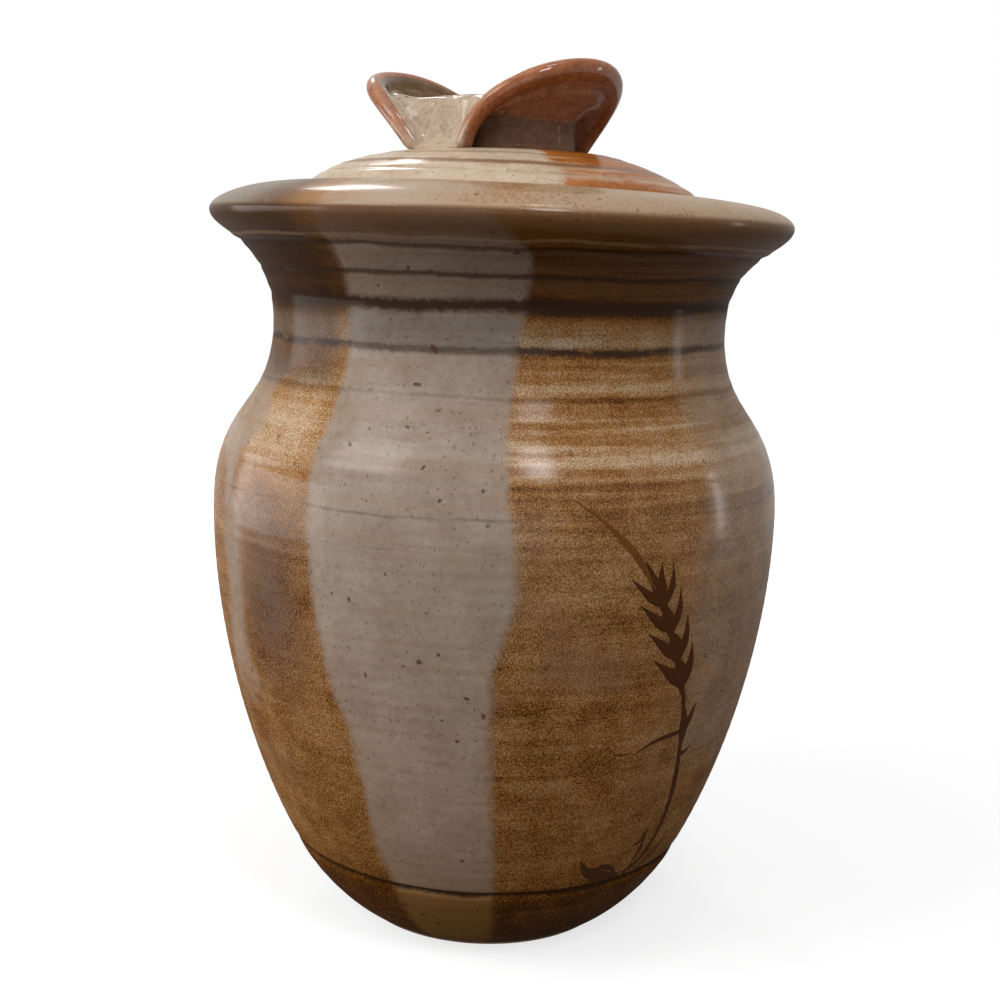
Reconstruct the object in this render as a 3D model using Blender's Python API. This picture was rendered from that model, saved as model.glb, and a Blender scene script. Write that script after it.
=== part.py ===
"""Stoneware kitchen canister: a thrown jar with a rolled lip, a domed lid and a folded knob.

Metres, +Z up. The origin is the centre of the foot, on the surface that the jar stands on.
"""

import math

import bmesh
import bpy

# Foot: a trimmed ring round a shallow recess
FOOT_RADIUS = 0.0343
FOOT_RING_WIDTH = 0.0080
FOOT_RECESS = 0.0020
FOOT_EDGE = 0.0010

# Outer wall of the jar, from the foot up; each rise starts at the station below it
GROOVE_RISE = 0.0222
GROOVE_RADIUS = 0.0538
GROOVE_DEPTH = 0.0008
GROOVE_WIDTH = 0.0020
BELLY_RISE = 0.0898
BELLY_RADIUS = 0.0756
SHOULDER_RISE = 0.0495
NECK_RADIUS = 0.0600
FLARE_RISE = 0.0210
RIDGE_RADIUS = 0.0704
RIDGE_STEP = 0.0005

# Rolled lip, from the ridge below it to its crest
LIP_EDGE_RISE = 0.0065
LIP_RADIUS = 0.0764
LIP_CREST_RISE = 0.0070
LIP_CREST_RADIUS = 0.0605

# Walls of the jar
WALL = 0.0060
FLOOR = 0.0070
FLOOR_FLAT_RADIUS = 0.0105
FLOOR_CURVE_RADIUS = 0.0260

# Slopes of the wall, from level
FOOT_SLOPE = math.radians(30.0)
HEEL_SLOPE = math.radians(70.0)
GROOVE_SLOPE = math.radians(66.0)
FLANK_SLOPE = math.radians(61.0)
HOLLOW_HEEL_SLOPE = math.radians(58.0)
RIDGE_SLOPE = math.radians(33.0)
LIP_UNDER_SLOPE = math.radians(35.0)
LIP_TOP_SLOPE = math.radians(-6.0)

# Fullness of each curve: how far its tangent runs, as a share of the rise or the run of that curve
HEEL_SPREAD = 0.40
HEEL_FULLNESS = 0.28
FLANK_SPREAD = 0.19
FLANK_FULLNESS = 0.43
SHOULDER_FULLNESS = 0.59
NECK_FULLNESS = 0.50
FLARE_FULLNESS = 0.38
RIDGE_FULLNESS = 0.40
LIP_UNDER_FULLNESS = 0.50
LIP_EDGE_FULLNESS = 0.35
LIP_OVER_FULLNESS = 0.50
LIP_TOP_FULLNESS = 0.45
THROAT_FULLNESS = 0.60

# Gallery: the ledge inside the lip that carries the lid
GALLERY_DEPTH = 0.0078
GALLERY_RADIUS = 0.0540
GALLERY_ROUNDING = 0.0043
LEDGE_WIDTH = 0.0080
LEDGE_THICKNESS = 0.0055

# Fits between the pieces
SEAT_GAP = 0.0003
LID_PLAY = 0.0015

# Lid
LID_EDGE_HEIGHT = 0.0050
LID_EDGE_EASING = 0.0013
LID_SEAT_WIDTH = 0.0050
LID_WALL = 0.0060
LID_HOLLOW_FLAT = 0.0120
DOME_RISE = 0.0172
PAD_RADIUS = 0.0240
DOME_SHOULDER = 0.42
DOME_CROWN = 0.45
DOME_FALL = 0.0009
HOLLOW_CROWN = 0.72
HOLLOW_SIDE = 0.62

# Knob: a cup whose brim is folded down on two sides, which leaves two wings
KNOB_OFFSET = -0.0023
KNOB_FLOOR = 0.0042
BRIM_THICKNESS = 0.0046
STEM_RADIUS = 0.0220
STEM_PINCH = 0.0035
STEM_HEIGHT = 0.0055
STEM_FILLET = 0.0010
FRONT_WING_REACH = 0.0345
BACK_WING_REACH = 0.0366
WING_HEIGHT = 0.0219
WING_TILT = math.radians(52.0)
WING_PULL = 0.0075
WING_FULLNESS = 0.60
FOLD_REACH = 0.0260
FOLD_CREST = 0.0129
FOLD_AZIMUTH = math.radians(-43.0)
FOLD_HALF_ANGLE = math.radians(28.0)
FOLD_TILT = math.radians(-75.0)
FOLD_PULL = 0.0055
FOLD_UNDER_SHARE = 0.68

# Facets
JAR_SEGMENTS = 56
LID_SEGMENTS = 56
KNOB_SEGMENTS = 60
CURVE_STEPS = 4
LONG_CURVE_STEPS = 8
HOLLOW_STEPS = 6
BRIM_STEPS = 8
CAP_STEPS = 4
SMOOTH_ANGLE = math.radians(40.0)

# Heights worked out from the rises
GROOVE_Z = GROOVE_RISE
BELLY_Z = GROOVE_Z + BELLY_RISE
NECK_Z = BELLY_Z + SHOULDER_RISE
RIDGE_Z = NECK_Z + FLARE_RISE
LIP_EDGE_Z = RIDGE_Z + LIP_EDGE_RISE
CREST_Z = LIP_EDGE_Z + LIP_CREST_RISE
LEDGE_Z = CREST_Z - GALLERY_DEPTH
LID_SEAT_Z = LEDGE_Z + SEAT_GAP
LID_RADIUS = GALLERY_RADIUS - LID_PLAY
PAD_Z = LID_SEAT_Z + DOME_RISE
KNOB_Z = PAD_Z + SEAT_GAP


def clear_scene():
    """Remove every object of the startup scene."""
    for obj in list(bpy.data.objects):
        bpy.data.objects.remove(obj, do_unlink=True)


def blend(low, high, share):
    """Value at this share of the way from low to high."""
    return low + (high - low) * share


def polar(point, length, angle):
    """Point at a length and an angle from another, in the plane of radius and height."""
    return point[0] + length * math.cos(angle), point[1] + length * math.sin(angle)


def curve_point(corners, t):
    """Point of a cubic curve."""
    weights = ((1 - t) ** 3, 3 * t * (1 - t) ** 2, 3 * t * t * (1 - t), t**3)
    return tuple(sum(w * corner[axis] for w, corner in zip(weights, corners)) for axis in (0, 1))


def curve_slope(corners, t):
    """Angle of a cubic curve's tangent."""
    weights = ((1 - t) ** 2, 2 * t * (1 - t), t * t)
    legs = [(b[0] - a[0], b[1] - a[1]) for a, b in zip(corners, corners[1:])]
    run, rise = (sum(w * leg[axis] for w, leg in zip(weights, legs)) for axis in (0, 1))
    return math.atan2(rise, run)


def curve(start, start_handle, end_handle, end, steps):
    """Points of a cubic curve after its start, up to and with its end."""
    corners = (start, start_handle, end_handle, end)
    return [curve_point(corners, step / steps) for step in range(1, steps + 1)]


def surface_material(name, colour, roughness):
    """Glazed stoneware in one colour."""
    material = bpy.data.materials.new(name)
    material.use_nodes = True
    shader = material.node_tree.nodes["Principled BSDF"]
    shader.inputs["Base Color"].default_value = (*colour, 1.0)
    shader.inputs["Roughness"].default_value = roughness
    shader.inputs["Metallic"].default_value = 0.0
    return material


def finish_object(name, builder, material):
    """Turn a bmesh into a named, smooth-shaded object with its faces out."""
    bmesh.ops.recalc_face_normals(builder, faces=builder.faces)
    mesh = bpy.data.meshes.new(name)
    builder.to_mesh(mesh)
    builder.free()
    mesh.materials.append(material)
    mesh.shade_smooth()
    mesh.set_sharp_from_angle(angle=SMOOTH_ANGLE)
    obj = bpy.data.objects.new(name, mesh)
    bpy.context.scene.collection.objects.link(obj)
    return obj


def skin_rings(builder, rings, bottom, top):
    """Join rings of vertices into a closed skin, with a centre vertex at each end."""
    count = len(rings[0])
    for low, high in zip(rings, rings[1:]):
        for index in range(count):
            following = (index + 1) % count
            builder.faces.new((low[index], low[following], high[following], high[index]))
    for index in range(count):
        following = (index + 1) % count
        builder.faces.new((bottom, rings[0][following], rings[0][index]))
        builder.faces.new((top, rings[-1][index], rings[-1][following]))


def turned_object(name, outline, segments, material):
    """Turn an outline, which starts and ends on the axis, into a closed round piece."""
    builder = bmesh.new()
    angles = [2 * math.pi * index / segments for index in range(segments)]
    rings = [
        [builder.verts.new((radius * math.cos(angle), radius * math.sin(angle), height)) for angle in angles]
        for radius, height in outline[1:-1]
    ]
    bottom = builder.verts.new((0.0, 0.0, outline[0][1]))
    top = builder.verts.new((0.0, 0.0, outline[-1][1]))
    skin_rings(builder, rings, bottom, top)
    return finish_object(name, builder, material)


def foot_outline():
    """Recess, foot ring and the eased outer edge of the foot."""
    ring_inside = FOOT_RADIUS - FOOT_RING_WIDTH
    return [
        (0.0, FOOT_RECESS),
        (ring_inside - FOOT_RECESS, FOOT_RECESS),
        (ring_inside, 0.0),
        (FOOT_RADIUS, 0.0),
        (FOOT_RADIUS + FOOT_EDGE, FOOT_EDGE),
    ]


def heel_outline():
    """Outer wall from the foot to the turned groove, with the groove's floor."""
    foot = (FOOT_RADIUS + FOOT_EDGE, FOOT_EDGE)
    groove = (GROOVE_RADIUS, GROOVE_Z)
    below = polar(groove, -GROOVE_WIDTH / 2, GROOVE_SLOPE)
    spread = polar(foot, HEEL_SPREAD * GROOVE_RISE, FOOT_SLOPE)
    arrival = polar(below, -HEEL_FULLNESS * GROOVE_RISE, HEEL_SLOPE)
    return curve(foot, spread, arrival, below, CURVE_STEPS) + [(GROOVE_RADIUS - GROOVE_DEPTH, GROOVE_Z)]


def wall_outline():
    """Outer wall from the groove past the belly and the neck to the ridge under the lip."""
    above = polar((GROOVE_RADIUS, GROOVE_Z), GROOVE_WIDTH / 2, GROOVE_SLOPE)
    belly = (BELLY_RADIUS, BELLY_Z)
    neck = (NECK_RADIUS, NECK_Z)
    ridge = (RIDGE_RADIUS, RIDGE_Z)
    flank = curve(
        above,
        polar(above, FLANK_SPREAD * BELLY_RISE, FLANK_SLOPE),
        (BELLY_RADIUS, BELLY_Z - FLANK_FULLNESS * BELLY_RISE),
        belly,
        LONG_CURVE_STEPS,
    )
    shoulder = curve(
        belly,
        (BELLY_RADIUS, BELLY_Z + SHOULDER_FULLNESS * SHOULDER_RISE),
        (NECK_RADIUS, NECK_Z - NECK_FULLNESS * SHOULDER_RISE),
        neck,
        LONG_CURVE_STEPS,
    )
    flare = curve(
        neck,
        (NECK_RADIUS, NECK_Z + FLARE_FULLNESS * FLARE_RISE),
        polar(ridge, -RIDGE_FULLNESS * FLARE_RISE, RIDGE_SLOPE),
        ridge,
        CURVE_STEPS,
    )
    return [above] + flank + shoulder + flare


def lip_outline():
    """Rolled lip from the ridge over its edge to the crest."""
    ridge = (RIDGE_RADIUS + RIDGE_STEP, RIDGE_Z + RIDGE_STEP)
    edge = (LIP_RADIUS, LIP_EDGE_Z)
    crest = (LIP_CREST_RADIUS, CREST_Z)
    under = curve(
        ridge,
        polar(ridge, LIP_UNDER_FULLNESS * LIP_EDGE_RISE, LIP_UNDER_SLOPE),
        (LIP_RADIUS, LIP_EDGE_Z - LIP_EDGE_FULLNESS * LIP_EDGE_RISE),
        edge,
        CURVE_STEPS,
    )
    over = curve(
        edge,
        (LIP_RADIUS, LIP_EDGE_Z + LIP_OVER_FULLNESS * LIP_CREST_RISE),
        polar(crest, LIP_TOP_FULLNESS * (LIP_RADIUS - LIP_CREST_RADIUS), LIP_TOP_SLOPE),
        crest,
        CURVE_STEPS + 1,
    )
    return [ridge] + under + over


def gallery_outline():
    """Inside of the lip: down to the ledge, along it and round its nose."""
    mouth_foot = (GALLERY_RADIUS, CREST_Z - GALLERY_ROUNDING)
    mouth = curve(
        (LIP_CREST_RADIUS, CREST_Z),
        ((GALLERY_RADIUS + LIP_CREST_RADIUS) / 2, CREST_Z),
        (GALLERY_RADIUS, CREST_Z - GALLERY_ROUNDING / 2),
        mouth_foot,
        CURVE_STEPS,
    )
    nose = LEDGE_THICKNESS / 2
    nose_centre = (GALLERY_RADIUS - LEDGE_WIDTH + nose, LEDGE_Z - nose)
    turns = [math.pi / 2 + math.pi * step / CURVE_STEPS for step in range(CURVE_STEPS + 1)]
    return mouth + [(GALLERY_RADIUS, LEDGE_Z)] + [polar(nose_centre, nose, turn) for turn in turns]


def hollow_outline():
    """Inside of the jar, from under the ledge down to the middle of the floor."""
    under_ledge = (GALLERY_RADIUS - LEDGE_WIDTH + LEDGE_THICKNESS, LEDGE_Z - LEDGE_THICKNESS)
    neck = (NECK_RADIUS - WALL, NECK_Z)
    belly = (BELLY_RADIUS - WALL, BELLY_Z)
    heel = (GROOVE_RADIUS - GROOVE_DEPTH - WALL, GROOVE_Z)
    throat = curve(
        under_ledge,
        (neck[0], under_ledge[1]),
        (neck[0], blend(NECK_Z, under_ledge[1], THROAT_FULLNESS)),
        neck,
        CURVE_STEPS,
    )
    shoulder = curve(
        neck,
        (neck[0], NECK_Z - NECK_FULLNESS * SHOULDER_RISE),
        (belly[0], BELLY_Z + SHOULDER_FULLNESS * SHOULDER_RISE),
        belly,
        HOLLOW_STEPS,
    )
    flank = curve(
        belly,
        (belly[0], BELLY_Z - FLANK_FULLNESS * BELLY_RISE),
        polar(heel, FLANK_SPREAD * BELLY_RISE, FLANK_SLOPE),
        heel,
        HOLLOW_STEPS,
    )
    floor = curve(
        heel,
        polar(heel, -HEEL_SPREAD * (GROOVE_Z - FLOOR), HOLLOW_HEEL_SLOPE),
        (FLOOR_CURVE_RADIUS, FLOOR),
        (FLOOR_FLAT_RADIUS, FLOOR),
        CURVE_STEPS,
    )
    return throat + shoulder + flank + floor + [(0.0, FLOOR)]


def make_jar():
    """Jar: foot, belly, neck, rolled lip and gallery in one thrown piece."""
    outside = foot_outline() + heel_outline() + wall_outline() + lip_outline()
    inside = gallery_outline() + hollow_outline()
    material = surface_material("jar_glaze", (0.45, 0.26, 0.13), 0.35)
    return turned_object("jar", outside + inside, JAR_SEGMENTS, material)


def lid_under_outline():
    """Hollow underside of the lid and the flat seat that rests on the ledge."""
    seat_outside = LID_RADIUS - LID_EDGE_EASING
    seat_inside = seat_outside - LID_SEAT_WIDTH
    ceiling = PAD_Z - LID_WALL
    flat_end = (LID_HOLLOW_FLAT, ceiling)
    side = curve(
        flat_end,
        (HOLLOW_CROWN * seat_inside, ceiling),
        (seat_inside, blend(LID_SEAT_Z, ceiling, HOLLOW_SIDE)),
        (seat_inside, LID_SEAT_Z),
        CURVE_STEPS + 1,
    )
    return [(0.0, ceiling), flat_end] + side + [(seat_outside, LID_SEAT_Z)]


def lid_dome_outline():
    """Eased edge of the lid, its dome and the flat pad under the knob."""
    edge_top = (LID_RADIUS, LID_SEAT_Z + LID_EDGE_HEIGHT)
    dome = curve(
        edge_top,
        (LID_RADIUS, blend(edge_top[1], PAD_Z, DOME_SHOULDER)),
        (blend(PAD_RADIUS, LID_RADIUS, DOME_CROWN), PAD_Z - DOME_FALL),
        (PAD_RADIUS, PAD_Z),
        LONG_CURVE_STEPS,
    )
    return [(LID_RADIUS, LID_SEAT_Z + LID_EDGE_EASING), edge_top] + dome + [(0.0, PAD_Z)]


def make_lid():
    """Lid: a hollow dome that sits inside the lip, on the gallery's ledge."""
    outline = lid_under_outline() + lid_dome_outline()
    material = surface_material("lid_glaze", (0.52, 0.38, 0.26), 0.35)
    return turned_object("lid", outline, LID_SEGMENTS, material)


def wing_share(turn):
    """0 where the brim is folded down to the lid, rising to 1 at the middle of each wing.

    The turn is the angle round the knob from the front fold.
    """
    from_fold = abs((turn + math.pi / 2) % math.pi - math.pi / 2)
    climb = max(from_fold - FOLD_HALF_ANGLE, 0.0) / (math.pi / 2 - FOLD_HALF_ANGLE)
    return math.sin(math.pi / 2 * climb) ** WING_FULLNESS


def brim_corners(share, reach):
    """Corners of the cubic curve down the middle of the brim, from the stem's top to the rim."""
    half = BRIM_THICKNESS / 2
    stem = (STEM_RADIUS - half - blend(STEM_PINCH, 0.0, share), STEM_HEIGHT)
    fold_seat = half * (1 + FOLD_UNDER_SHARE) / 2
    rim = (blend(FOLD_REACH, reach, share) - half, blend(fold_seat, WING_HEIGHT - half, share))
    fold_lift = 2 * (FOLD_CREST - STEM_HEIGHT) - half
    lift = blend(fold_lift, STEM_HEIGHT, share)
    pull = blend(FOLD_PULL, WING_PULL, share)
    return stem, (stem[0], stem[1] + lift), polar(rim, -pull, rim_tilt(share)), rim


def rim_tilt(share):
    """Direction in which the brim ends: down at a fold, up and out at a wing."""
    return blend(FOLD_TILT, WING_TILT, share)


def brim_section(share, reach):
    """Outline of the knob at one place, from the foot of the stem to the floor of the cup."""
    half = BRIM_THICKNESS / 2
    under_half = blend(FOLD_UNDER_SHARE * half, half, share)
    corners = brim_corners(share, reach)
    under, over = [], []
    for step in range(BRIM_STEPS + 1):
        point = curve_point(corners, step / BRIM_STEPS)
        slope = curve_slope(corners, step / BRIM_STEPS)
        under.append(polar(point, under_half, slope - math.pi / 2))
        over.insert(0, polar(point, half, slope + math.pi / 2))
    cap = []
    for step in range(1, CAP_STEPS):
        turn = step / CAP_STEPS
        angle = rim_tilt(share) - math.pi / 2 + math.pi * turn
        cap.append(polar(corners[3], blend(under_half, half, turn), angle))
    foot = [(under[0][0] + STEM_FILLET, 0.0), (under[0][0], STEM_FILLET)]
    well = over[-1][0]
    floor = [(well, KNOB_FLOOR + STEM_FILLET), (well - STEM_FILLET, KNOB_FLOOR)]
    return foot + under + cap + over + floor


def make_knob():
    """Knob: stem, cup and folded brim, stuck on the lid a little off its centre."""
    builder = bmesh.new()
    columns = []
    for index in range(KNOB_SEGMENTS):
        turn = 2 * math.pi * index / KNOB_SEGMENTS
        reach = FRONT_WING_REACH if turn < math.pi else BACK_WING_REACH
        azimuth = FOLD_AZIMUTH + turn
        column = [
            builder.verts.new((radius * math.sin(azimuth), -radius * math.cos(azimuth), height))
            for radius, height in brim_section(wing_share(turn), reach)
        ]
        columns.append(column)
    rings = [list(ring) for ring in zip(*columns)]
    bottom = builder.verts.new((0.0, 0.0, 0.0))
    top = builder.verts.new((0.0, 0.0, KNOB_FLOOR))
    skin_rings(builder, rings, bottom, top)
    knob = finish_object("knob", builder, surface_material("knob_glaze", (0.40, 0.22, 0.13), 0.30))
    knob.location = (KNOB_OFFSET, 0.0, KNOB_Z)
    return knob


def main():
    """Build the canister with its lid on."""
    clear_scene()
    make_jar()
    lid = make_lid()
    knob = make_knob()
    knob.parent = lid


main()
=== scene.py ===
"""Looks of a stoneware kitchen canister: its turned surfaces, glazes, brushed wheat and studio.

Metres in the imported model's frame: +Z up, the origin under the middle of the foot, -Y towards the
camera. An azimuth is 0 at the front and grows to the right as seen from there. The glazes and the
brush strokes are given in millimetres and degrees.
"""

from __future__ import annotations

import logging
import math
from collections.abc import Sequence
from dataclasses import dataclass
from enum import Enum
from functools import cached_property

import bmesh
import bpy
from mathutils import Matrix, Vector, noise


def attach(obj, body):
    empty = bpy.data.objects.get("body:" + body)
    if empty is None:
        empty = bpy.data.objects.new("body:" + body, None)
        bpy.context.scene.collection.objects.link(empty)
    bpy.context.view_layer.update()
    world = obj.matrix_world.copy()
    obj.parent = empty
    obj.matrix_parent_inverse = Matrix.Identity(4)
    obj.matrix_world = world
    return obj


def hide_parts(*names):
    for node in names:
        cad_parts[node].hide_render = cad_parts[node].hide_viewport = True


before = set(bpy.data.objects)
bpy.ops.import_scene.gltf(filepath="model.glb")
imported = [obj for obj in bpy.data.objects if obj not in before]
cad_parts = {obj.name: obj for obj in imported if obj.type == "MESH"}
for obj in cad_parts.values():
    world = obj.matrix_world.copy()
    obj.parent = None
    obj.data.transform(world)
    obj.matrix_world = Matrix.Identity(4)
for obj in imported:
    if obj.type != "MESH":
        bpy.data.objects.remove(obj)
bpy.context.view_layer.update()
LOG = logging.getLogger("canister")

Point = tuple[float, float]
Outline = list[Point]
Colour = tuple[float, float, float]
Socket = bpy.types.NodeSocket
MM = 0.001


class Body(Enum):
    """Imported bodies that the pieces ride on."""

    JAR = "jar"
    LID = "lid"


class Slot(Enum):
    """Material slots of the record."""

    JAR = "jar_glaze"
    LID = "lid_glaze"
    KNOB = "knob_glaze"


def blend(low: float, high: float, share: float) -> float:
    """Value at this share of the way from low to high."""
    return low + (high - low) * share


def smooth(share: float) -> float:
    """Share eased at both ends, held between 0 and 1."""
    held = min(max(share, 0.0), 1.0)
    return held * held * (3 - 2 * held)


def polar(point: Point, length: float, angle: float) -> Point:
    """Point at a length and an angle from another, in the plane of radius and height."""
    return point[0] + length * math.cos(angle), point[1] + length * math.sin(angle)


def on_circle(radius: float, azimuth: float, height: float) -> Vector:
    """Point at a radius, an azimuth in radians and a height."""
    return Vector((radius * math.sin(azimuth), -radius * math.cos(azimuth), height))


@dataclass(frozen=True)
class Cubic:
    """Cubic curve in the plane of radius and height."""

    start: Point
    start_handle: Point
    end_handle: Point
    end: Point

    def point(self, share: float) -> Point:
        """Point of the curve.

        Args:
            share: how far along it, from 0 to 1.

        Returns:
            The point.
        """
        left = 1 - share
        weights = (left**3, 3 * share * left**2, 3 * share**2 * left, share**3)
        corners = (self.start, self.start_handle, self.end_handle, self.end)
        radius = sum(weight * corner[0] for weight, corner in zip(weights, corners))
        return radius, sum(weight * corner[1] for weight, corner in zip(weights, corners))

    def points(self, spacing: float) -> Outline:
        """Points of the curve after its start, about this far apart."""
        steps = max(3, round(1.1 * math.dist(self.start, self.end) / spacing))
        return [self.point(step / steps) for step in range(1, steps + 1)]

    def backwards(self) -> Cubic:
        """The same curve from its end to its start."""
        return Cubic(self.end, self.end_handle, self.start_handle, self.start)


def straight(start: Point, end: Point, spacing: float) -> Outline:
    """Points along a straight line.

    Args:
        start: where the line starts; this point is left out.
        end: where it ends.
        spacing: about how far apart the points are.

    Returns:
        The points.
    """
    steps = max(1, round(math.dist(start, end) / spacing))
    share = [step / steps for step in range(1, steps + 1)]
    return [(blend(start[0], end[0], s), blend(start[1], end[1], s)) for s in share]


def skin(builder: bmesh.types.BMesh, rings: list[list[bmesh.types.BMVert]]) -> None:
    """Join rings of vertices, all of one count, with quads.

    Args:
        builder: the mesh that holds the vertices.
        rings: the rings in order.
    """
    for low, high in zip(rings, rings[1:]):
        for index, corner in enumerate(low):
            following = (index + 1) % len(low)
            builder.faces.new((corner, low[following], high[following], high[index]))


def fan(builder: bmesh.types.BMesh, ring: list[bmesh.types.BMVert], centre: bmesh.types.BMVert) -> None:
    """Close a ring of vertices with triangles to one in its middle."""
    for index, corner in enumerate(ring):
        builder.faces.new((centre, corner, ring[(index + 1) % len(ring)]))


def finish_mesh(name: str, builder: bmesh.types.BMesh, sharp: float = 40.0) -> bpy.types.Object:
    """Turn a bmesh into a smooth-shaded object at the origin.

    Args:
        name: the piece's name.
        builder: the mesh, which is freed.
        sharp: edges that turn by more than this many degrees stay crisp.

    Returns:
        The new object.
    """
    bmesh.ops.recalc_face_normals(builder, faces=builder.faces)
    mesh = bpy.data.meshes.new(name)
    builder.to_mesh(mesh)
    builder.free()
    mesh.shade_smooth()
    mesh.set_sharp_from_angle(angle=math.radians(sharp))
    piece = bpy.data.objects.new(name, mesh)
    bpy.context.scene.collection.objects.link(piece)
    return piece


def normals_of(outline: Outline) -> Outline:
    """Unit normals of an outline.

    Args:
        outline: its points.

    Returns:
        One normal for each point, to the right of the direction of travel.
    """
    found = []
    for index in range(len(outline)):
        behind, ahead = outline[max(index - 1, 0)], outline[min(index + 1, len(outline) - 1)]
        run, rise = ahead[0] - behind[0], ahead[1] - behind[1]
        length = math.hypot(run, rise) or 1.0
        found.append((rise / length, -run / length))
    return found


def turned_piece(name: str, outline: Outline, form: JarForm | LidForm) -> bpy.types.Object:
    """Turn an outline that starts and ends on the axis into a closed piece.

    Args:
        name: the piece's name.
        outline: radius and height, from the axis under the piece to the axis over it.
        form: the shape, which gives the relief and the lean at a radius, a height and an azimuth, and
            the finish of each face.

    Returns:
        The new object, with each vertex's height on the true outline in the mark "level".
    """
    builder = bmesh.new()
    level = builder.verts.layers.float.new("level")
    angles = [2 * math.pi * index / form.segments for index in range(form.segments)]
    rings = []
    for (radius, height), (out, up) in list(zip(outline, normals_of(outline)))[1:-1]:
        ring = []
        for angle in angles:
            proud = form.relief(radius, height, angle)
            rise = height + proud * up + form.lean(radius, height, angle)
            corner = builder.verts.new(on_circle(radius + proud * out, angle, rise))
            corner[level] = height / MM
            ring.append(corner)
        rings.append(ring)
    skin(builder, rings)
    for ring, height in ((rings[0], outline[0][1]), (rings[-1], outline[-1][1])):
        centre = builder.verts.new((0.0, 0.0, height))
        centre[level] = height / MM
        fan(builder, ring, centre)
    piece = finish_mesh(name, builder)
    for face in piece.data.polygons:
        face.material_index = form.surface_of(face)
    return piece


@dataclass(frozen=True)
class ScoredLine:
    """A line that a tool or a fingertip left round the clay.

    Attributes:
        place: its height or radius.
        width: how wide it is.
        depth: how deep it is.
        spread: how softly its sides rise, as a share of its width.
    """

    place: float
    width: float
    depth: float
    spread: float = 0.42

    def cut(self, where: float) -> float:
        """How deep the line is at this height or radius."""
        return self.depth * math.exp(-(((where - self.place) / (self.spread * self.width)) ** 2))


@dataclass(frozen=True)
class ThrowingRings:
    """Finger marks that wind round a thrown wall.

    Attributes:
        pitch: how far apart they lie.
        depth: how far they stand out.
        patch: how far up the wall they stay strong or faint.
        drift: how far up the wall they keep their wander.
        wander: how far they stray, as a share of the pitch.
        least: how strong they are where they are neither strong nor faint.
        swing: how much stronger or fainter they get.
    """

    pitch: float
    depth: float
    patch: float = 0.012
    drift: float = 0.020
    wander: float = 0.3
    least: float = 0.6
    swing: float = 0.8

    def height(self, where: float, azimuth: float) -> float:
        """How far the rings stand out.

        Args:
            where: the height or the radius.
            azimuth: the angle round the pot, in radians.

        Returns:
            Metres outwards.
        """
        turn = Vector((math.sin(azimuth), math.cos(azimuth), 0.0))
        wander = self.wander * noise.noise(1.3 * turn + Vector((0.0, 0.0, where / self.drift)))
        swell = self.least + self.swing * noise.noise(0.7 * turn + Vector((4.0, 4.0, where / self.patch)))
        wave = math.sin(2 * math.pi * (where / self.pitch - azimuth / (2 * math.pi) + wander))
        return self.depth * swell * wave


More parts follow.
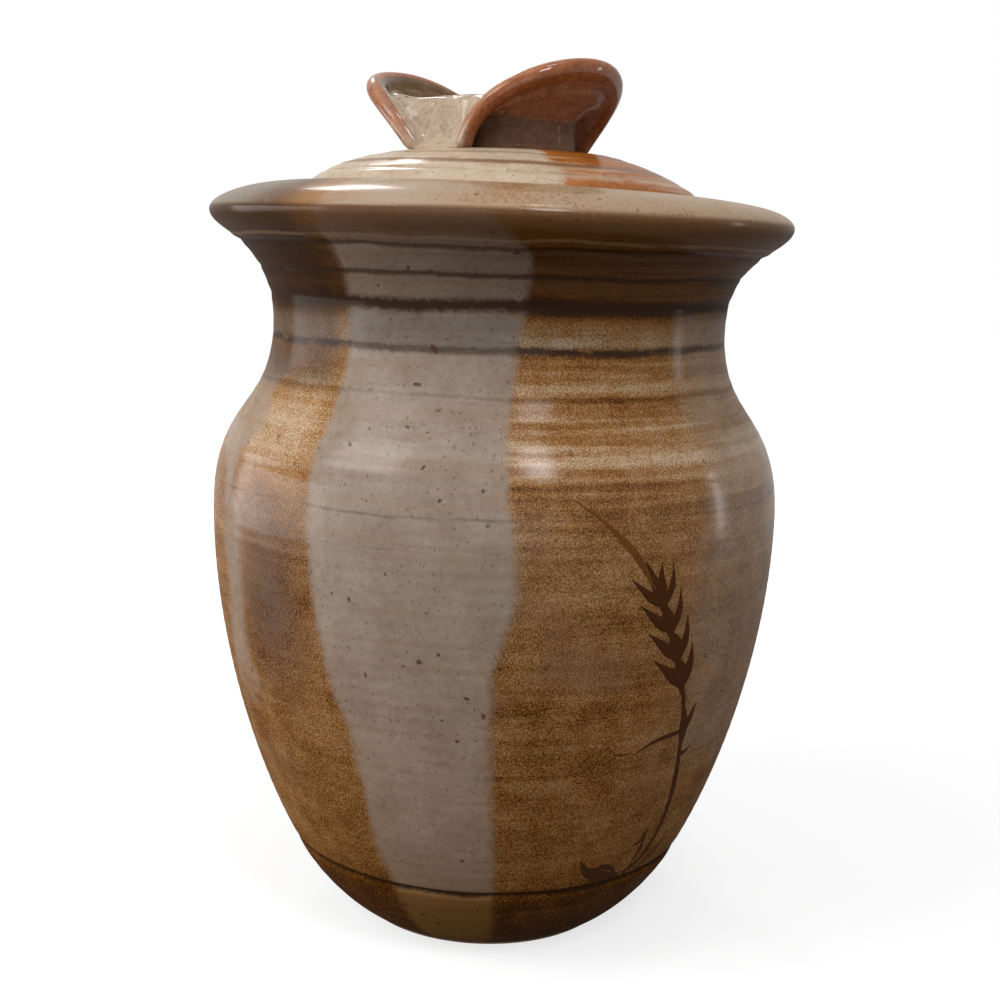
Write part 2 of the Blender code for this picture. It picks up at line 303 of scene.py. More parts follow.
@dataclass(frozen=True)
class JarForm:
    """Shape of the thrown jar: foot, belly, neck, rolled lip and gallery."""

    foot_radius: float = 0.0343
    foot_ring: float = 0.0080
    foot_recess: float = 0.0020
    foot_edge: float = 0.0010
    foot_slope: float = math.radians(30.0)
    groove_height: float = 0.0222
    groove_radius: float = 0.0538
    groove_width: float = 0.0022
    groove_depth: float = 0.0008
    heel_slope: float = math.radians(70.0)
    heel_spread: float = 0.40
    heel_fullness: float = 0.28
    belly_height: float = 0.1120
    belly_radius: float = 0.0756
    flank_slope: float = math.radians(61.0)
    flank_spread: float = 0.19
    flank_fullness: float = 0.43
    neck_height: float = 0.1615
    neck_radius: float = 0.0600
    shoulder_fullness: float = 0.59
    neck_fullness: float = 0.50
    ridge_height: float = 0.1825
    ridge_radius: float = 0.0704
    ridge_step: float = 0.0006
    ridge_slope: float = math.radians(33.0)
    ridge_fullness: float = 0.40
    flare_fullness: float = 0.38
    lip_height: float = 0.1890
    lip_radius: float = 0.0764
    lip_under_slope: float = math.radians(35.0)
    lip_top_slope: float = math.radians(-6.0)
    lip_under_pull: float = 0.50
    lip_below_edge: float = 0.35
    lip_above_edge: float = 0.50
    lip_top_pull: float = 0.45
    crest_height: float = 0.1960
    crest_radius: float = 0.0605
    gallery_radius: float = 0.0540
    gallery_rounding: float = 0.0043
    ledge_height: float = 0.1882
    ledge_width: float = 0.0080
    ledge_thickness: float = 0.0055
    ledge_steps: int = 8
    under_ledge_fullness: float = 0.6
    wall: float = 0.0060
    floor: float = 0.0070
    floor_flat: float = 0.0105
    floor_turn: float = 0.0260
    floor_pull: float = 0.0061
    floor_slope: float = math.radians(58.0)
    spacing: float = 0.60 * MM
    inside_spacing: float = 1.5 * MM
    segments: int = 192
    table_steps: int = 1200
    rings: ThrowingRings = ThrowingRings(pitch=3.4 * MM, depth=0.036 * MM)
    inside_rings: ThrowingRings = ThrowingRings(pitch=5.2 * MM, depth=0.22 * MM)
    inside_fade: float = 0.010
    below_ledge: float = 0.008
    foot_fade: float = 0.010
    lip_fade: float = 0.006
    ends_bare: float = 0.004
    groove_clear: float = 0.003
    lip_lean: Point = (1.1 * MM, 0.8 * MM)
    lip_tip_lean: float = 0.6
    lean_start: float = 0.1720
    lean_rise: float = 0.0140
    lean_run: float = 0.0055
    lines: tuple[ScoredLine, ...] = (
        ScoredLine(place=0.1812, width=1.5 * MM, depth=0.35 * MM),
        ScoredLine(place=0.1752, width=1.3 * MM, depth=0.22 * MM),
        ScoredLine(place=0.1684, width=3.0 * MM, depth=0.25 * MM),
        ScoredLine(place=0.1579, width=2.6 * MM, depth=0.10 * MM),
        ScoredLine(place=0.1284, width=2.2 * MM, depth=0.05 * MM),
        ScoredLine(place=0.0150, width=1.2 * MM, depth=0.12 * MM),
    )

    def foot(self) -> Outline:
        """Recess, foot ring and eased edge."""
        inside = self.foot_radius - self.foot_ring
        corners = [
            (0.0, self.foot_recess),
            (inside - self.foot_recess, self.foot_recess),
            (inside, 0.0),
            (self.foot_radius, 0.0),
            (self.foot_radius + self.foot_edge, self.foot_edge),
        ]
        found = [corners[0]]
        for start, end in zip(corners, corners[1:]):
            found += straight(start, end, self.inside_spacing)
        return found

    def flank(self, low: Point, high: Point) -> Cubic:
        """Curve of the wall up to the belly.

        Args:
            low: its foot, at the heel.
            high: its top, at the belly.

        Returns:
            The curve.
        """
        rise = high[1] - low[1]
        return Cubic(
            low,
            polar(low, self.flank_spread * rise, self.flank_slope),
            (high[0], high[1] - self.flank_fullness * rise),
            high,
        )

    def shoulder(self, low: Point, high: Point) -> Cubic:
        """Curve of the wall from the belly up to the neck.

        Args:
            low: its foot, at the belly.
            high: its top, at the neck.

        Returns:
            The curve.
        """
        rise = high[1] - low[1]
        return Cubic(
            low,
            (low[0], low[1] + self.shoulder_fullness * rise),
            (high[0], high[1] - self.neck_fullness * rise),
            high,
        )

    def wall_outline(self) -> Outline:
        """Outer wall from the foot's edge up to the ridge under the lip."""
        foot = (self.foot_radius + self.foot_edge, self.foot_edge)
        groove = (self.groove_radius, self.groove_height)
        belly = (self.belly_radius, self.belly_height)
        neck = (self.neck_radius, self.neck_height)
        ridge = (self.ridge_radius, self.ridge_height)
        flare_rise = self.ridge_height - self.neck_height
        heel = Cubic(
            foot,
            polar(foot, self.heel_spread * self.groove_height, self.foot_slope),
            polar(groove, -self.heel_fullness * self.groove_height, self.heel_slope),
            groove,
        )
        flare = Cubic(
            neck,
            (self.neck_radius, self.neck_height + self.flare_fullness * flare_rise),
            polar(ridge, -self.ridge_fullness * flare_rise, self.ridge_slope),
            ridge,
        )
        curves = (heel, self.flank(groove, belly), self.shoulder(belly, neck), flare)
        return [point for curve in curves for point in curve.points(self.spacing)]

    def lip_outline(self) -> Outline:
        """Rolled lip from the ridge over its edge to the crest."""
        ridge = (self.ridge_radius + self.ridge_step, self.ridge_height + self.ridge_step)
        edge = (self.lip_radius, self.lip_height)
        crest = (self.crest_radius, self.crest_height)
        under_rise = self.lip_height - self.ridge_height
        over_rise = self.crest_height - self.lip_height
        under = Cubic(
            ridge,
            polar(ridge, self.lip_under_pull * under_rise, self.lip_under_slope),
            (self.lip_radius, self.lip_height - self.lip_below_edge * under_rise),
            edge,
        )
        over = Cubic(
            edge,
            (self.lip_radius, self.lip_height + self.lip_above_edge * over_rise),
            polar(crest, self.lip_top_pull * (self.lip_radius - self.crest_radius), self.lip_top_slope),
            crest,
        )
        return [ridge] + under.points(self.spacing) + over.points(self.spacing)

    def inside_outline(self) -> Outline:
        """Inside of the jar from the crest over the gallery's ledge down to the floor."""
        nose, steps = self.ledge_thickness / 2, self.ledge_steps
        nose_centre = (self.gallery_radius - self.ledge_width + nose, self.ledge_height - nose)
        mouth_foot = (self.gallery_radius, self.crest_height - self.gallery_rounding)
        mouth = Cubic(
            (self.crest_radius, self.crest_height),
            ((self.gallery_radius + self.crest_radius) / 2, self.crest_height),
            (self.gallery_radius, self.crest_height - self.gallery_rounding / 2),
            mouth_foot,
        )
        ledge = (self.gallery_radius, self.ledge_height)
        found = mouth.points(self.spacing) + straight(mouth_foot, ledge, self.spacing)
        found += straight(ledge, (nose_centre[0], self.ledge_height), self.inside_spacing)
        for step in range(1, steps + 1):
            found.append(polar(nose_centre, nose, math.pi / 2 + math.pi * step / steps))
        under_ledge = found[-1]
        neck = (self.neck_radius - self.wall, self.neck_height)
        belly = (self.belly_radius - self.wall, self.belly_height)
        heel = (self.groove_radius - self.groove_depth - self.wall, self.groove_height)
        throat = Cubic(
            under_ledge,
            (neck[0], under_ledge[1]),
            (neck[0], blend(neck[1], under_ledge[1], self.under_ledge_fullness)),
            neck,
        )
        bottom = Cubic(
            heel,
            polar(heel, -self.floor_pull, self.floor_slope),
            (self.floor_turn, self.floor),
            (self.floor_flat, self.floor),
        )
        curves = (throat, self.shoulder(belly, neck).backwards(), self.flank(heel, belly).backwards(), bottom)
        for curve in curves:
            found += curve.points(self.inside_spacing)
        return found + straight(found[-1], (0.0, self.floor), self.inside_spacing)

    def relief(self, radius: float, height: float, azimuth: float) -> float:
        """How far the jar's surface stands out from its outline.

        Args:
            radius: the outline's radius.
            height: the outline's height.
            azimuth: the angle round the jar, in radians.

        Returns:
            Metres outwards; negative is cut in.
        """
        wall_end = blend(self.wall_here(height) - self.wall, self.wall_here(height), 0.5)
        if radius < wall_end and height < self.ledge_height:
            ends = smooth((height - self.floor) / self.inside_fade)
            ends *= smooth((self.ledge_height - self.below_ledge - height) / self.inside_fade)
            return ends * self.inside_rings.height(height, azimuth)
        if height > self.ledge_height - 0.1 * MM and radius < self.gallery_radius + 0.2 * MM:
            return 0.0
        groove = ScoredLine(self.groove_height, self.groove_width, self.groove_depth)
        cuts = groove.cut(height) + sum(line.cut(height) for line in self.lines)
        ends = smooth((height - self.ends_bare) / self.foot_fade)
        ends *= smooth((self.lip_height - self.ends_bare - height) / self.lip_fade)
        beside_groove = smooth(abs(height - self.groove_height) / self.groove_clear)
        return ends * self.rings.height(height, azimuth) * beside_groove - cuts

    def lean(self, radius: float, height: float, azimuth: float) -> float:
        """How far the lip sits above a level one; it droops to the right, and the gallery stays level.

        Args:
            radius: the outline's radius.
            height: the outline's height.
            azimuth: the angle round the jar, in radians.

        Returns:
            Metres upwards.
        """
        side = math.sin(azimuth)
        share = smooth((radius - self.gallery_radius - 0.5 * MM) / self.lean_run)
        share *= smooth((height - self.lean_start) / self.lean_rise)
        outward = smooth((radius - self.crest_radius) / (self.lip_radius - self.crest_radius))
        tip = blend(1.0, self.lip_tip_lean, outward)
        return -share * tip * (self.lip_lean[0] * side + self.lip_lean[1] * side * side)

    @cached_property
    def wall_radii(self) -> list[float]:
        """Outer radius at even heights from the foot to the crest."""
        outline = [(self.foot_radius, 0.0)] + self.wall_outline() + self.lip_outline()
        count, index = self.table_steps, 0
        found = []
        for step in range(count + 1):
            height = self.crest_height * step / count
            while index < len(outline) - 2 and outline[index + 1][1] < height:
                index += 1
            low, high = outline[index], outline[index + 1]
            rise = high[1] - low[1]
            share = min(max((height - low[1]) / rise, 0.0), 1.0) if rise > 0 else 0.0
            found.append(blend(low[0], high[0], share))
        return found

    def wall_here(self, height: float) -> float:
        """Radius of the outer wall, read from its outline.

        Args:
            height: where on the wall.

        Returns:
            The radius.
        """
        table = self.wall_radii
        step = min(max(height / self.crest_height, 0.0), 1.0) * (len(table) - 1)
        low = min(int(step), len(table) - 2)
        return blend(table[low], table[low + 1], step - low)

    def on_wall(self, azimuth: float, height: float, lift: float) -> Vector:
        """Point over the outer wall.

        Args:
            azimuth: the angle round the jar, in radians.
            height: the height on the wall.
            lift: how far out along the wall's normal.

        Returns:
            The point.
        """
        step = 0.5 * MM
        run = self.wall_here(height + step) - self.wall_here(height - step)
        length = math.hypot(run, 2 * step)
        radius = self.wall_here(height)
        proud = lift + self.relief(radius, height, azimuth)
        return on_circle(radius + proud * 2 * step / length, azimuth, height - proud * run / length)

    def surface_of(self, face: bpy.types.MeshPolygon) -> int:
        """Which finish a face has.

        Args:
            face: the face.

        Returns:
            0 for the outer glaze, 1 for the liner glaze and 2 for bare clay.
        """
        centre = face.center
        radius = math.hypot(centre.x, centre.y)
        on_ledge = abs(centre.z - self.ledge_height) < 0.3 * MM and radius < self.gallery_radius
        if on_ledge or (centre.z < 0.6 * self.foot_edge and radius > self.foot_radius - self.foot_ring):
            return 2
        if centre.z < 2 * self.foot_recess and radius < self.foot_radius - 0.2 * MM:
            return 2
        inside = radius < self.wall_here(centre.z) - 0.4 * self.wall and centre.z > self.floor - MM
        return 1 if inside and centre.z < self.ledge_height else 0

    def build(self) -> bpy.types.Object:
        """The jar's mesh."""
        outline = self.foot() + self.wall_outline() + self.lip_outline() + self.inside_outline()
        return turned_piece("thrown_jar", outline, self)


@dataclass(frozen=True)
class LidForm:
    """Shape of the domed lid that sits on the gallery's ledge."""

    seat_height: float = 0.1885
    radius: float = 0.0525
    edge_height: float = 0.0050
    edge_easing: float = 0.0013
    seat_width: float = 0.0050
    wall: float = 0.0060
    hollow_flat: float = 0.0120
    hollow_reach: float = 0.72
    hollow_drop: float = 0.62
    dome_rise: float = 0.0172
    pad_radius: float = 0.0240
    dome_shoulder: float = 0.42
    dome_crown: float = 0.45
    dome_fall: float = 0.0009
    spacing: float = 0.55 * MM
    segments: int = 168
    rings: ThrowingRings = ThrowingRings(pitch=3.0 * MM, depth=0.07 * MM)
    edge_fade: float = 0.002
    pad_fade: float = 0.004
    lean_run: float = 0.022
    dome_lean: Point = (0.8 * MM, 0.4 * MM)
    lines: tuple[ScoredLine, ...] = (
        ScoredLine(place=0.0336, width=1.6 * MM, depth=0.16 * MM),
        ScoredLine(place=0.0468, width=1.8 * MM, depth=0.14 * MM),
    )

    def under_outline(self) -> Outline:
        """Hollow underside and the flat seat."""
        seat_outside = self.radius - self.edge_easing
        seat_inside = seat_outside - self.seat_width
        ceiling = self.seat_height + self.dome_rise - self.wall
        flat_end = (self.hollow_flat, ceiling)
        side = Cubic(
            flat_end,
            (self.hollow_reach * seat_inside, ceiling),
            (seat_inside, blend(self.seat_height, ceiling, self.hollow_drop)),
            (seat_inside, self.seat_height),
        )
        crown = [(0.0, ceiling)] + straight((0.0, ceiling), flat_end, 2 * self.spacing)
        seat = straight((seat_inside, self.seat_height), (seat_outside, self.seat_height), self.spacing)
        return crown + side.points(2 * self.spacing) + seat

    def dome_outline(self) -> Outline:
        """Eased edge, dome and the flat pad under the knob."""
        edge_foot = (self.radius, self.seat_height + self.edge_easing)
        edge_top = (self.radius, self.seat_height + self.edge_height)
        pad_height = self.seat_height + self.dome_rise
        dome = Cubic(
            edge_top,
            (self.radius, blend(edge_top[1], pad_height, self.dome_shoulder)),
            (blend(self.pad_radius, self.radius, self.dome_crown), pad_height - self.dome_fall),
            (self.pad_radius, pad_height),
        )
        pad = straight((self.pad_radius, pad_height), (0.0, pad_height), 2 * self.spacing)
        return [edge_foot] + straight(edge_foot, edge_top, self.spacing) + dome.points(self.spacing) + pad

    def relief(self, radius: float, height: float, azimuth: float) -> float:
        """How far the lid's surface stands out from its outline.

        Args:
            radius: the outline's radius.
            height: the outline's height.
            azimuth: the angle round the lid, in radians.

        Returns:
            Metres outwards; negative is cut in.
        """
        over = smooth((height - self.seat_height - self.edge_height) / self.edge_fade)
        clear_of_pad = smooth((radius - self.pad_radius) / self.pad_fade)
        if height < self.seat_height + self.edge_height or clear_of_pad == 0.0:
            return 0.0
        cuts = sum(line.cut(radius) for line in self.lines)
        return over * clear_of_pad * (self.rings.height(radius, azimuth) - cuts)

    def lean(self, radius: float, height: float, azimuth: float) -> float:
        """How far the dome sits above a level one; the pad and the seat stay level.

        Args:
            radius: the outline's radius.
            height: the outline's height.
            azimuth: the angle round the lid, in radians.

        Returns:
            Metres upwards.
        """
        side = math.sin(azimuth)
        share = smooth((radius - self.pad_radius - MM) / self.lean_run)
        share *= smooth((height - self.seat_height) / self.edge_height)
        return -share * (self.dome_lean[0] * side + self.dome_lean[1] * side * side)

    def surface_of(self, face: bpy.types.MeshPolygon) -> int:
        """Which finish a face has.

        Args:
            face: the face.

        Returns:
            0 for the glaze, 1 for the liner glaze and 2 for the bare clay at the seat.
        """
        if face.center.z < self.seat_height + 0.1 * MM or face.center.z < self.seat_height + self.edge_easing:
            radius = math.hypot(face.center.x, face.center.y)
            return 2 if radius > self.radius - self.edge_easing - self.seat_width - 0.2 * MM else 1
        return 1 if face.normal.z < -0.05 else 0

    def build(self) -> bpy.types.Object:
        """The lid's mesh."""
        return turned_piece("domed_lid", self.under_outline() + self.dome_outline(), self)


@dataclass(frozen=True)
class BrimPlace:
    """One place round the knob's brim.

    Attributes:
        wing: 0 where the brim is folded down, 1 in the middle of a wing.
        reach: how far out the wing at this place goes.
        dip: how far the middle of a fold is drawn in.
    """

    wing: float
    reach: float
    dip: float


@dataclass(frozen=True)
class KnobForm:
    """Shape of the knob: a cup whose brim is folded down on two sides, which leaves two wings."""

    offset: float = -0.0023
    base: float = 0.2060
    cup_floor: float = 0.0042
    thickness: float = 0.0046
    stem_radius: float = 0.0220
    stem_pinch: float = 0.0035
    stem_height: float = 0.0055
    stem_fillet: float = 0.0010
    fillet_middle: float = 0.3
    front_reach: float = 0.0345
    back_reach: float = 0.0366
    wing_height: float = 0.0219
    wing_tilt: float = math.radians(52.0)
    wing_pull: float = 0.0075
    wing_fullness: float = 0.60
    fold_reach: float = 0.0260
    fold_crest: float = 0.0138
    fold_azimuth: float = math.radians(-41.5)
    fold_half_angle: float = math.radians(22.5)
    left_half_angle: float = math.radians(17.5)
    far_half_angle: float = math.radians(36.0)
    near_fullness: float = 0.50
    fold_tilt: float = math.radians(-30.0)
    fold_pull: float = 0.0066
    fold_under: float = 0.68
    fold_dip: float = 0.0022
    dip_spread: float = 1.15
    fold_easing: float = 0.06
    fold_seat: float = -0.0012
    stem_share: float = 0.35
    roll_place: float = 0.82
    roll_width: float = 0.065
    roll_depth: float = 0.75 * MM
    sunk: float = 0.45 * MM
    ledges: tuple[ScoredLine, ...] = (
        ScoredLine(place=0.0046, width=1.3 * MM, depth=0.28 * MM),
        ScoredLine(place=0.0078, width=1.1 * MM, depth=0.22 * MM),
    )
    columns: int = 288
    wall_steps: int = 8
    brim_steps: int = 36
    cap_steps: int = 12

    def place_at(self, turn: float) -> BrimPlace:
        """The brim at one place.

        Args:
            turn: the angle from the front fold, in radians.

        Returns:
            The place.
        """
        from_fold = abs((turn + math.pi / 2) % math.pi - math.pi / 2)
        near = math.cos(turn) > 0.0
        half = self.fold_half_angle
        if math.sin(turn) < 0.0:
            half = self.left_half_angle if near else self.far_half_angle
        climb = max(from_fold - half, 0.0) / (math.pi / 2 - half)
        eased = math.hypot(climb, self.fold_easing) - self.fold_easing
        most = math.hypot(1.0, self.fold_easing) - self.fold_easing
        wing = math.sin(math.pi / 2 * eased / most) ** (self.near_fullness if near else self.wing_fullness)
        dip = self.fold_dip * smooth(1 - from_fold / (self.dip_spread * self.fold_half_angle))
        across = 0.5 + 0.5 * math.sin(turn)
        return BrimPlace(wing, blend(self.back_reach, self.front_reach, smooth(across)), dip)

    def tilt(self, place: BrimPlace) -> float:
        """Direction in which the brim ends: down at a fold, up and out at a wing."""
        return blend(self.fold_tilt, self.wing_tilt, place.wing)

    def midline(self, place: BrimPlace) -> Cubic:
        """Curve down the middle of the brim.

        Args:
            place: where on the brim.

        Returns:
            The curve from the stem's top to the rim.
        """
        half = self.thickness / 2
        stem = (self.stem_radius - half - blend(self.stem_pinch, 0.0, place.wing), self.stem_height)
        rim = (
            blend(self.fold_reach - place.dip, place.reach, place.wing) - half,
            blend(self.fold_seat, self.wing_height - half, place.wing),
        )
        lift = blend(2 * (self.fold_crest - self.stem_height) - half, self.stem_height, place.wing)
        pull = blend(self.fold_pull, self.wing_pull, place.wing)
        return Cubic(stem, (stem[0], stem[1] + lift), polar(rim, -pull, self.tilt(place)), rim)

    def middle_at(self, turn: float, share: float) -> Vector:
        """Point on the brim's middle surface."""
        radius, height = self.midline(self.place_at(turn)).point(share)
        return on_circle(radius, self.fold_azimuth + turn, height)

    def frame_at(self, turn: float, share: float) -> tuple[Vector, Vector, Vector]:
        """Point on the middle surface, its upper normal and its direction out to the rim.

        Args:
            turn: the angle from the front fold, in radians.
            share: 0 at the stem and 1 at the rim.

        Returns:
            The point and two unit vectors.
        """
        step = 0.004
        around = self.middle_at(turn + step, share) - self.middle_at(turn - step, share)
        outward = self.middle_at(turn, min(share + step, 1.0)) - self.middle_at(turn, max(share - step, 0.0))
        upper = outward.cross(around).normalized()
        return self.middle_at(turn, share), upper, around.cross(upper).normalized()

    def roll(self, share: float, place: BrimPlace) -> float:
        """How much the brim thins just under its rolled rim."""
        rolled = smooth(4 * place.wing)
        return self.roll_depth * rolled * math.exp(-(((share - self.roll_place) / self.roll_width) ** 2))

    def column(self, turn: float) -> list[tuple[Vector, float, float]]:
        """Points of the knob at one turn, from the foot of the stem to the floor of the cup.

        Args:
            turn: the angle from the front fold, in radians.

        Returns:
            Each point over the knob's base, how near it is to the rim (-1 on the stem), and 1 on the
            upper face.
        """
        place = self.place_at(turn)
        half = self.thickness / 2
        under_half = blend(self.fold_under * half, half, place.wing)
        out = on_circle(1.0, self.fold_azimuth + turn, 0.0)
        under, over, cap = [], [], []
        for step in range(self.brim_steps + 1):
            share = step / self.brim_steps
            middle, upper, _ = self.frame_at(turn, share)
            rim = smooth((share - self.roll_place) / (1 - self.roll_place))
            stem = smooth(1 - share / self.stem_share)
            spot = middle - (under_half - self.roll(share, place)) * upper
            cut = smooth(1.6 - 3.2 * share) * sum(line.cut(spot.z) for line in self.ledges)
            under.append((spot - cut * out, rim - stem, 0.0))
            over.insert(0, (middle + (half - self.roll(share, place)) * upper, rim, 1.0))
        middle, upper, outward = self.frame_at(turn, 1.0)
        for step in range(1, self.cap_steps):
            angle = math.pi * step / self.cap_steps
            thick = blend(under_half, half, step / self.cap_steps)
            spot = middle + thick * (math.sin(angle) * outward - math.cos(angle) * upper)
            cap.append((spot, 1.0, smooth(step / self.cap_steps)))
        stem_top, well_top = under[0][0], over[-1][0]
        foot_radius, well_radius = stem_top.dot(out), well_top.dot(out)
        foot = [
            (self.stem_fillet, -self.sunk),
            (self.stem_fillet, 0.0),
            (self.fillet_middle * self.stem_fillet, self.fillet_middle * self.stem_fillet),
            (0.0, self.stem_fillet),
        ]
        for step in range(1, self.wall_steps):
            foot.append((0.0, blend(self.stem_fillet, stem_top.z, step / self.wall_steps)))
        floor = [
            (0.0, self.cup_floor + self.stem_fillet),
            (self.fillet_middle * self.stem_fillet, self.cup_floor + self.fillet_middle * self.stem_fillet),
            (self.stem_fillet, self.cup_floor),
        ]
        up = Vector((0.0, 0.0, 1.0))
        start = []
        for extra, height in foot:
            cut = sum(line.cut(height) for line in self.ledges)
            start.append(((foot_radius + extra - cut) * out + height * up, -1.0, 0.0))
        end = [((well_radius - inset) * out + height * up, 0.0, 1.0) for inset, height in floor]
        return start + under + cap + over + end

    def build(self) -> bpy.types.Object:
        """The knob's mesh, with its rim, folds and upper face marked at its vertices."""
        builder = bmesh.new()
        marks = {name: builder.verts.layers.float.new(name) for name in ("rim", "wing", "upper")}
        place = Vector((self.offset, 0.0, self.base))
        columns = []
        for index in range(self.columns):
            turn = 2 * math.pi * index / self.columns
            wing = self.place_at(turn).wing
            column = []
            for spot, rim, upper in self.column(turn):
                spot.z = max(spot.z, -self.sunk)
                corner = builder.verts.new(spot + place)
                corner[marks["rim"]], corner[marks["wing"]], corner[marks["upper"]] = rim, wing, upper
                column.append(corner)
            columns.append(column)
        rings = [list(ring) for ring in zip(*columns)]
        skin(builder, rings)
        for ring, height in ((rings[0], -self.sunk), (rings[-1], self.cup_floor)):
            fan(builder, ring, builder.verts.new(place + Vector((0.0, 0.0, height))))
        return finish_mesh("folded_knob", builder, sharp=70.0)


@dataclass(frozen=True)
class BrushStroke:
    """One stroke of a loaded brush on the jar's wall.

    Attributes:
        path: azimuth in degrees and height in millimetres, along the stroke.
        width: its widest, in millimetres.
        swell: share of the path at which it is widest.
        start: width at the start, as a share of the widest.
        end: width at the end, as a share of the widest.
        load: how much pigment the brush holds, from 0 to 1.
        tremble: how far its width wavers, as a share of it.
    """

    path: tuple[Point, ...]
    width: float
    swell: float = 0.5
    start: float = 0.08
    end: float = 0.08
    load: float = 1.0
    tremble: float = 0.10

    def at(self, share: float) -> Point:
        """Place on a smooth curve through the path's points.

        Args:
            share: how far along the stroke.

        Returns:
            Azimuth in degrees and height in millimetres.
        """
        legs = len(self.path) - 1
        leg = min(int(share * legs), legs - 1)
        t = share * legs - leg
        near = [self.path[min(max(leg + step, 0), legs)] for step in (-1, 0, 1, 2)]
        weights = (-t + 2 * t * t - t**3, 2 - 5 * t * t + 3 * t**3, t + 4 * t * t - 3 * t**3, t**3 - t * t)
        azimuth = sum(weight * point[0] for weight, point in zip(weights, near)) / 2
        return azimuth, sum(weight * point[1] for weight, point in zip(weights, near)) / 2

    def half_width(self, share: float) -> float:
        """Half of the stroke's width.

        Args:
            share: how far along the stroke.

        Returns:
            Metres.
        """
        if share < self.swell:
            part = blend(self.start, 1.0, smooth(share / self.swell))
        else:
            part = blend(self.end, 1.0, smooth((1 - share) / (1 - self.swell)))
        waver = 1 + self.tremble * noise.noise(Vector((9 * share, *self.path[0])))
        return 0.5 * MM * self.width * part * waver


